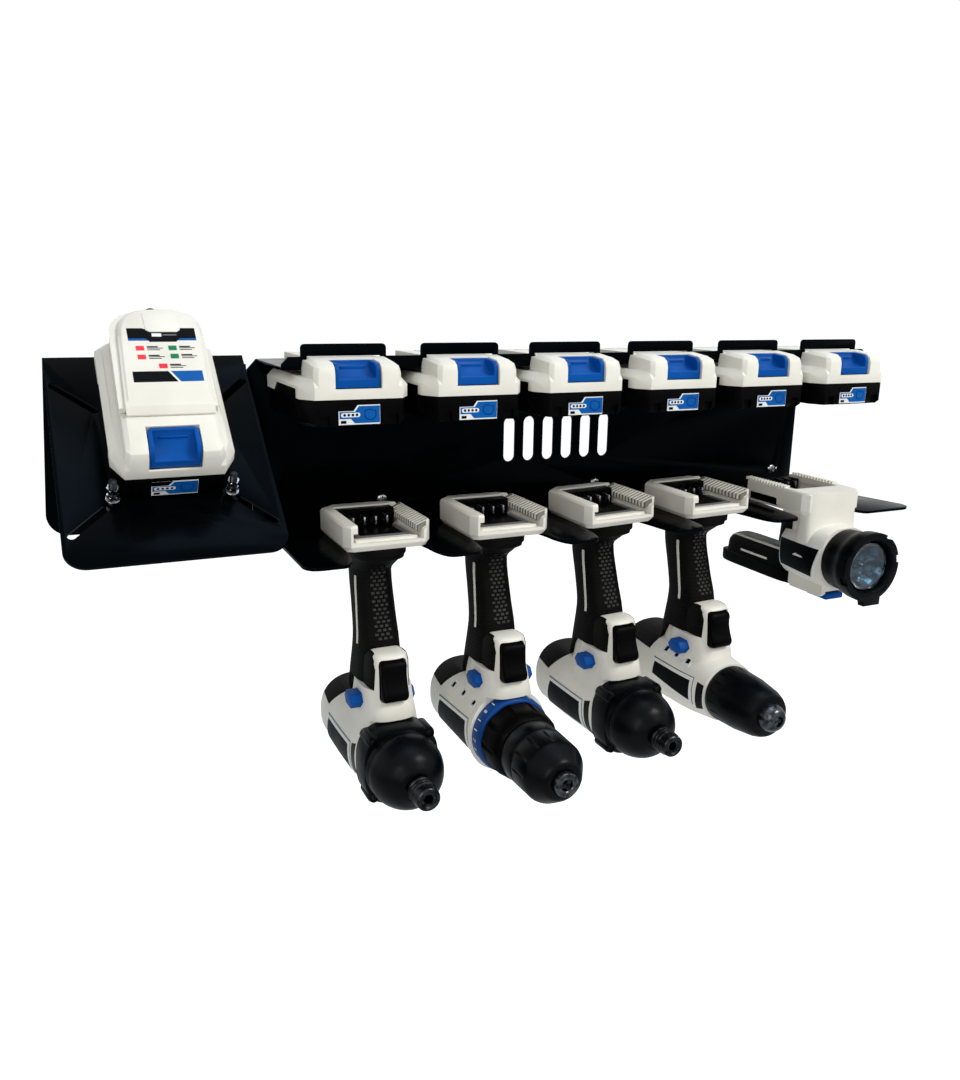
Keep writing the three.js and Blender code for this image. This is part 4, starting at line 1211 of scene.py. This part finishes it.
def digits(text, size):
    """Plain numerals as a thin solid, centred on the origin and lying in X and Y."""
    words = bpy.data.curves.new("digits", "FONT")
    words.body = text
    words.size = size
    words.extrude = 0.12
    words.align_x = "CENTER"
    words.align_y = "CENTER"
    return applied(words)


def dial_marks():
    """White ticks and plain numbers round the torque ring."""
    marks = []
    count, radius = 24, 32
    for i in range(count):
        if i % 3:
            mark = block((-0.45, -117, -0.1), (0.45, -112.6, 0.12))
        else:
            mark = moved(turned_by(digits(str(i // 3 + 1), 5.4), pi, "Z"), 0, -115, 0.02)
        marks.append(wrapped(moved(mark, 2 * pi * radius * i / count), radius))
    return together(*marks)


def hammer_chuck():
    sleeve = turned([
        (-137.5, 7.6), (-148.4, 7.6), (-148.4, 24), (-149.4, 25), (-151, 25.6), (-166, 25.4), (-166.4, 24.6),
        (-167.4, 24.6), (-167.8, 25.4), (-186, 25), (-188.4, 24.3), (-190, 23.4), (-200, 17), (-202, 15.2),
        (-203, 13), (-203, 11),
    ], 96)
    flute = turned([(-169, 0.7), (-172, 1.3), (-184, 1.3), (-187, 0.7)], 12)
    return softened(cut(sleeve, *round_axis(flute, 12, 26), rod(9.9, -204, -200)), 0.4)


def jaws(jaw, start):
    return [turned_by(jaw.copy(), angle + start, "Y") for angle in angles(3)]


def hammer_nose():
    """Steel nose of a chuck with the three jaws showing in its bore."""
    front, radius, bore = -208.6, 9.6, 4.6
    rim = turned([(front + 12, radius), (front + 1.4, radius), (front + 0.4, radius - 0.5),
                  (front, radius - 1.4), (front, bore + 0.6), (front + 0.8, bore)])
    rim = cut(rim, rod(bore, front - 1, front + 9, 48))
    jaw = block((-1.7, front + 0.8, 0.7), (1.7, front + 10, bore + 0.8))
    return together(painted(softened(rim, 0.3), STEEL_GREY),
                    painted(together(*jaws(jaw, pi / 6)), DARK_STEEL))


def drill_chuck():
    sleeve = turned([(-133.3, 24.2), (-135, 24.8), (-137, 25), (-160, 24), (-178, 21.4), (-183, 19.8),
                     (-186, 18.2), (-187, 16.2), (-187, 12)], 96)
    flute = turned([(-139, 0.5), (-142, 1.1), (-156, 1.1), (-160, 0.5)], 12)
    return softened(cut(sleeve, *round_axis(flute, 18, 25.3)), 0.4)


def drill_nose():
    dome = turned(eased([(-184, 12.6), (-187, 12.4), (-192, 11.4), (-196.5, 8.8), (-198.5, 5.6)]))
    dome = softened(cut(dome, rod(4.4, -200, -188)), 0.2)
    return together(dome, *jaws(bar(1.5, (-197, 0.5), (-188, 5)), pi / 2))


def vent_forms(kind):
    backs, rims = [], []
    for y, z in kind["vents"]:
        opening = [(y + 3.5, z + 2.1), (y - 3.5, z + 2.1), (y - 3.5, z - 2.1), (y + 3.5, z - 2.1)]
        # A black sheet just under each vent's mouth: painted shade inside the vent.
        backs.append(side_plate(kind, opening, -0.4, rows=2, columns=2))
        rim = side_plate(kind, opening, 0.9, 1.4, rows=4, columns=3)
        rims.append(cut(rim, bar(32, (y - 3.4, z - 2), (y + 1.6, z + 2))))
    return {"vent_shade_backs": (together(*backs), BLACK),
            "vent_rims": (softened(together(*rims), 0.2), PRINT_WHITE)}


@cache
def kind_forms(name):
    """Forms of one kind of tool, made once: {piece: (mesh, finish)}."""
    kind = KINDS[name]
    plate = kind["plate"]
    forms = {
        "housing": (housing(kind), WHITE),
        "grip": (grip(kind), RUBBER),
        # Grey band round the side plate: painted shade where the groove round it is.
        "plate_groove_shade": (side_plate(kind, plate, 0.2, 3.3), PRINT_AND_SHADE_GREY),
        "plate_rim": (side_plate(kind, plate, 1.1, 2.6), PRINT_WHITE),
        "plate": (side_plate(kind, plate, 1.3), PRINT_BLACK),
        "studs": (grip_studs(), STUD),
        "stripe": (grip_stripe(), WHITE),
        "foot_ribs": (foot_ribs(), "white_plastic"),
        "guard_skin": (guard_skin(), RUBBER),
        "terminals": (foot_terminals(), "black_plastic"),
    }
    if kind["vents"]:
        forms |= vent_forms(kind)
    if kind["bar"]:
        forms["side_vent"] = (side_plate(kind, kind["bar"], 0.4), GLOSS_BLACK)
    return forms


def make_tool(name, k, kind, shift=0.0, lean=0.0, setting=-3.0):
    """Places what all tools have, and returns the place of its axis for what turns or sits round it."""
    angle = radians(lean)
    at = at_place(tool_x(k) + shift, 0, FOOT["half"] * sin(angle), 0, -angle)
    for piece, (mesh, finish) in kind_forms(kind).items():
        node = f"{name}_{piece}" if piece in ("housing", "grip") else None
        place(f"{name}_{piece}_skin", mesh, finish, name, at, node)
    selector = softened(selector_form(SELECTOR_HALF, 0, setting), 0.8, 3)
    skin(f"{name}_trigger", trigger(), BLACK, f"{name}_trigger_body", at)
    skin(f"{name}_selector", selector, BLUE, f"{name}_selector_body", at)
    return at @ at_place(0, 0, KINDS[kind]["axis"])


def make_tools():
    cover, screws, holder = nose_cover(), nose_screws(), bit_holder()
    for name, k, leaning in (("impact_driver_1", 0, {}), ("impact_driver_2", 2, {"shift": 0.5, "lean": 1.9})):
        at = make_tool(name, k, "impact", **leaning)
        skin(f"{name}_nose_cover", cover, GLOSS_BLACK, name, at)
        place(f"{name}_nose_screws", screws, DARK_STEEL, name, at)
        skin(f"{name}_bit_holder", holder, DARK_STEEL, f"{name}_bit_holder_body", at)
    at = make_tool("hammer_drill", 1, "hammer", setting=0)
    ring, chuck = "hammer_drill_torque_ring_body", "hammer_drill_chuck_body"
    skin("hammer_drill_torque_ring", torque_ring(), RING_BLUE, ring, at)
    place("hammer_drill_torque_collar", torque_collar(), BLACK, ring, at)
    place("hammer_drill_dial_marks", dial_marks(), PRINT_WHITE, ring, at)
    skin("hammer_drill_chuck", hammer_chuck(), GLOSS_BLACK, chuck, at)
    place("hammer_drill_chuck_nose", hammer_nose(), "dark_steel", chuck, at)
    at = make_tool("drill_driver", 3, "drill", shift=-1.5, lean=1.3)
    skin("drill_driver_chuck", drill_chuck(), GLOSS_BLACK, "drill_driver_chuck_body", at)
    place("drill_driver_chuck_nose", drill_nose(), STEEL_GREY, "drill_driver_chuck_body", at)


# Work light

LIGHT_FOOT = {"rear": -47, "front": -134.5, "half": 31.2, "top": 4.4}
LIGHT_NECK = [(-10, -108, 20, 22), (-30, -108, 20, 22), (-46, -110, 22, 24)]
LIGHT_FRONT = [(4.4, -128, 8.4, 27), (-20, -128, 9, 27), (-34, -128, 11, 27.5), (-52, -128, 16, 29)]
LIGHT_HEAD = [(-101, 25, 23), (-104, 27.4, 25.4), (-140, 28, 27.4), (-152.6, 26.6, 26.6)]
LIGHT_SOLE = [(-104, -66), (-104, -83), (-107, -86), (-143, -86), (-146, -83), (-146, -66)]
LIGHT_SLAB = [(-86, -54, 50, 14.6), (-84, -54, 51, 15), (-76, -54, 51, 15), (-75, -54.6, 50, 14)]
LIGHT_BAR = [(-75.6, -57, 47.5, 13), (-66, -57.6, 47, 12.8), (-60, -59, 45, 11.4), (-57, -61, 42, 9)]
LIGHT_PLATE = [(-104, -40), (-150, -41), (-142, -67), (-105, -64)]
LIGHT_LENS = [(-176.8, 20), (-179.4, 20.2), (-180.2, 18), (-180.6, 10), (-180.7, 0.5)]
LAMP_STEM = [(-160, 2.4), (-168, 2.4), (-170, 1.9), (-172, 0.6)]
HEAD_POWER = 2.6


def light_neck(grow=0.0):
    return tower(eased(LIGHT_NECK), 3, 48, grow)


def light_body():
    half = LIGHT_FOOT["half"]
    head = barrel(eased(LIGHT_HEAD, 3), LIGHT_AXIS, HEAD_POWER)
    body = join(foot_shell(**LIGHT_FOOT), light_neck(), tower(eased(LIGHT_FRONT), 4, 56), head,
                across(LIGHT_SOLE, 15))
    recess = softened(block((-half - 1, -98, -13.4), (3 - half, -60, -5.6)), 1.6, 3)
    seat = moved(rod(11.4, -160, -150.5), z=LIGHT_AXIS)
    room = bar(10.4, (-148, -92), (-122, -81.4))
    return softened(cut(body, *foot_socket(-112, LIGHT_FOOT["rear"] + 5), recess, seat, room), 1.4, 3)


def bar_form(levels, grow=0.0):
    return tower(levels, 5, 64, grow)


def bar_shell(levels, width):
    """Part of the handle bar, with room left in it for the head and its sole."""
    rear, *others = LIGHT_HEAD
    head = barrel(eased([(rear[0] + GAP, *rear[1:])] + others, 3), LIGHT_AXIS, HEAD_POWER, GAP)
    return softened(cut(bar_form(levels), head, bar(30, (-150, -90), (GAP - 104, -66))), width, 3)


def bar_inset():
    """Black panel along the left of the bar with a pale rim above it, and the pale line in it."""
    levels = eased(LIGHT_BAR)

    def bay(rear, front, low, high):
        corner = curve((rear, -70), (rear, high), (rear - 12, high))
        return [(rear, low)] + corner + [(front, high), (front, low)]

    panel = common(bar_form(levels, 0.5), across(bay(-12, -100, -76, -58.6), 9, -13))
    line = common(bar_form(levels, 0.9), across(rectangle(-72, -71, -35, -69), 8, -14))
    rim = common(bar_form(levels, 0.4), across(rectangle(-100, -74, -9, -55), 4.5, -12.5))
    rim = cut(rim, across(bay(-14, -101, -80, -60), 20))
    return together(painted(panel, BLACK), painted(line, WHITE), painted(rim, WHITE))


def neck_strip():
    """Black strip down the rear of the neck's left side, with the recess in the foot above it."""
    half = LIGHT_FOOT["half"]
    strip = common(light_neck(0.5), across(rectangle(-111, -47, -93, -22), 12, -20))
    return together(strip, block((-half + 1.6, -97, -12.6), (3.4 - half, -61, -6.4)))


def light_bell():
    bell = turned(eased([(-152.9, 25.8), (-166, 26.8), (-175, 29.4), (-184, 29.8)], 5), 96)
    hub = rod(11, -150.8, -156)
    mouth = turned([(-185, 24), (-181, 22.4), (-170, 21), (-160, 12)], 72)
    tab = across([(-176, -23.5), (-184, -23.5), (-184, -33.5), (-178, -33.5)], 9, 4)
    notches = [turned_by(bar(3.4, (-185, 27.6), (-178, 34)), radians(a), "Y") for a in (35, 80, 250, 300)]
    return softened(cut(join(bell, hub, tab), mouth, *notches), 0.8, 3)


def reflector():
    """Faceted bowl behind the lens, with the lamp at its centre."""
    steps, last, rings = 18, 6, []
    for r in range(last + 1):
        radius, depth = 2.6 + 17.2 * r / last, -166 - 10.5 * (r / last) ** 1.7
        turn = pi / steps * (r % 2)
        rings.append([(radius * cos(a + turn), depth, radius * sin(a + turn)) for a in angles(steps)])
    rings += [[(x * 1.03, y + 1.2, z * 1.03) for x, y, z in ring] for ring in reversed(rings)]
    points = [p for ring in rings for p in ring]
    return form(points, [tuple(i % len(points) for i in face) for face in skin_faces(steps, len(rings))])


def light_plate(lift, border):
    return flank_patch(eased(LIGHT_HEAD, 3), LIGHT_AXIS, HEAD_POWER, LIGHT_PLATE, lift, border)


def light_teeth():
    """Rows of teeth along the tops of both rails."""
    wedge = [(24.2, 3.6), (24.2, 6.4), (30.6, 6), (30.6, 3.6)]
    teeth = [copies(upright([(side * x, z) for x, z in wedge], -54, -56), *[(0, -3.8 * i) for i in range(14)])
             for side in SIDES]
    return softened(together(*teeth[0], *teeth[1]), 0.25)


def light_terminals():
    base = bar(20, (-104, FOOT_FLOOR), (-52, FOOT_FLOOR + 1.2))
    post = cut(bar(20, (-68, FOOT_FLOOR + 1), (-54, 3)), *comb(1.9, (-70, -6), (-60, 4)))
    return together(painted(softened(together(base, post), 0.4), BLACK),
                    painted(softened(together(*comb(0.7, (-72, -6), (-60, 1.4))), 0.2), BOLT_STEEL))


def make_light():
    at = at_place(tool_x(4) + 0.8, 0, 0)
    skin("light_body", light_body(), WHITE, "light", at)
    skin("light_grip", painted(bar_shell(LIGHT_SLAB, 0.8), BLACK), "rubber_grip", "light", at)
    place("light_bar_shell", painted(bar_shell(eased(LIGHT_BAR), 0.6), BLACK), "rubber_grip", "light", at)
    place("light_bar_inset", bar_inset(), "rubber_grip", "light", at)
    place("light_neck_strip", neck_strip(), BLACK, "light", at)
    on_axis = at @ at_place(0, 0, LIGHT_AXIS)
    skin("light_bell", light_bell(), GLOSS_BLACK, "light", on_axis)
    skin("light_lens", turned(eased(LIGHT_LENS, 2), 72), LENS, "light", on_axis)
    place("light_reflector", reflector(), MIRROR, "light", on_axis, smooth=5)
    place("light_lamp", turned(LAMP_STEM, 24), STEEL, "light", on_axis)
    place("light_foot_teeth", light_teeth(), WHITE, "light", at)
    place("light_terminals", light_terminals(), "black_plastic", "light", at)
    place("light_plate_rim", light_plate(0.6, 1.8), PRINT_WHITE, "light", at)
    place("light_plate", light_plate(0.9, 0), GLOSS_BLACK, "light", at)
    skin("light_button", softened(bar(9.8, (-146.6, -89), (-122.6, -84)), 1.2, 3), BLUE, "light_switch", at)


make_camera()
make_world()
make_lamps()
make_floor()
make_rack()
make_charging_corner()
make_packs()
make_tools()
make_light()

bpy.context.scene.view_settings.view_transform = "Standard"
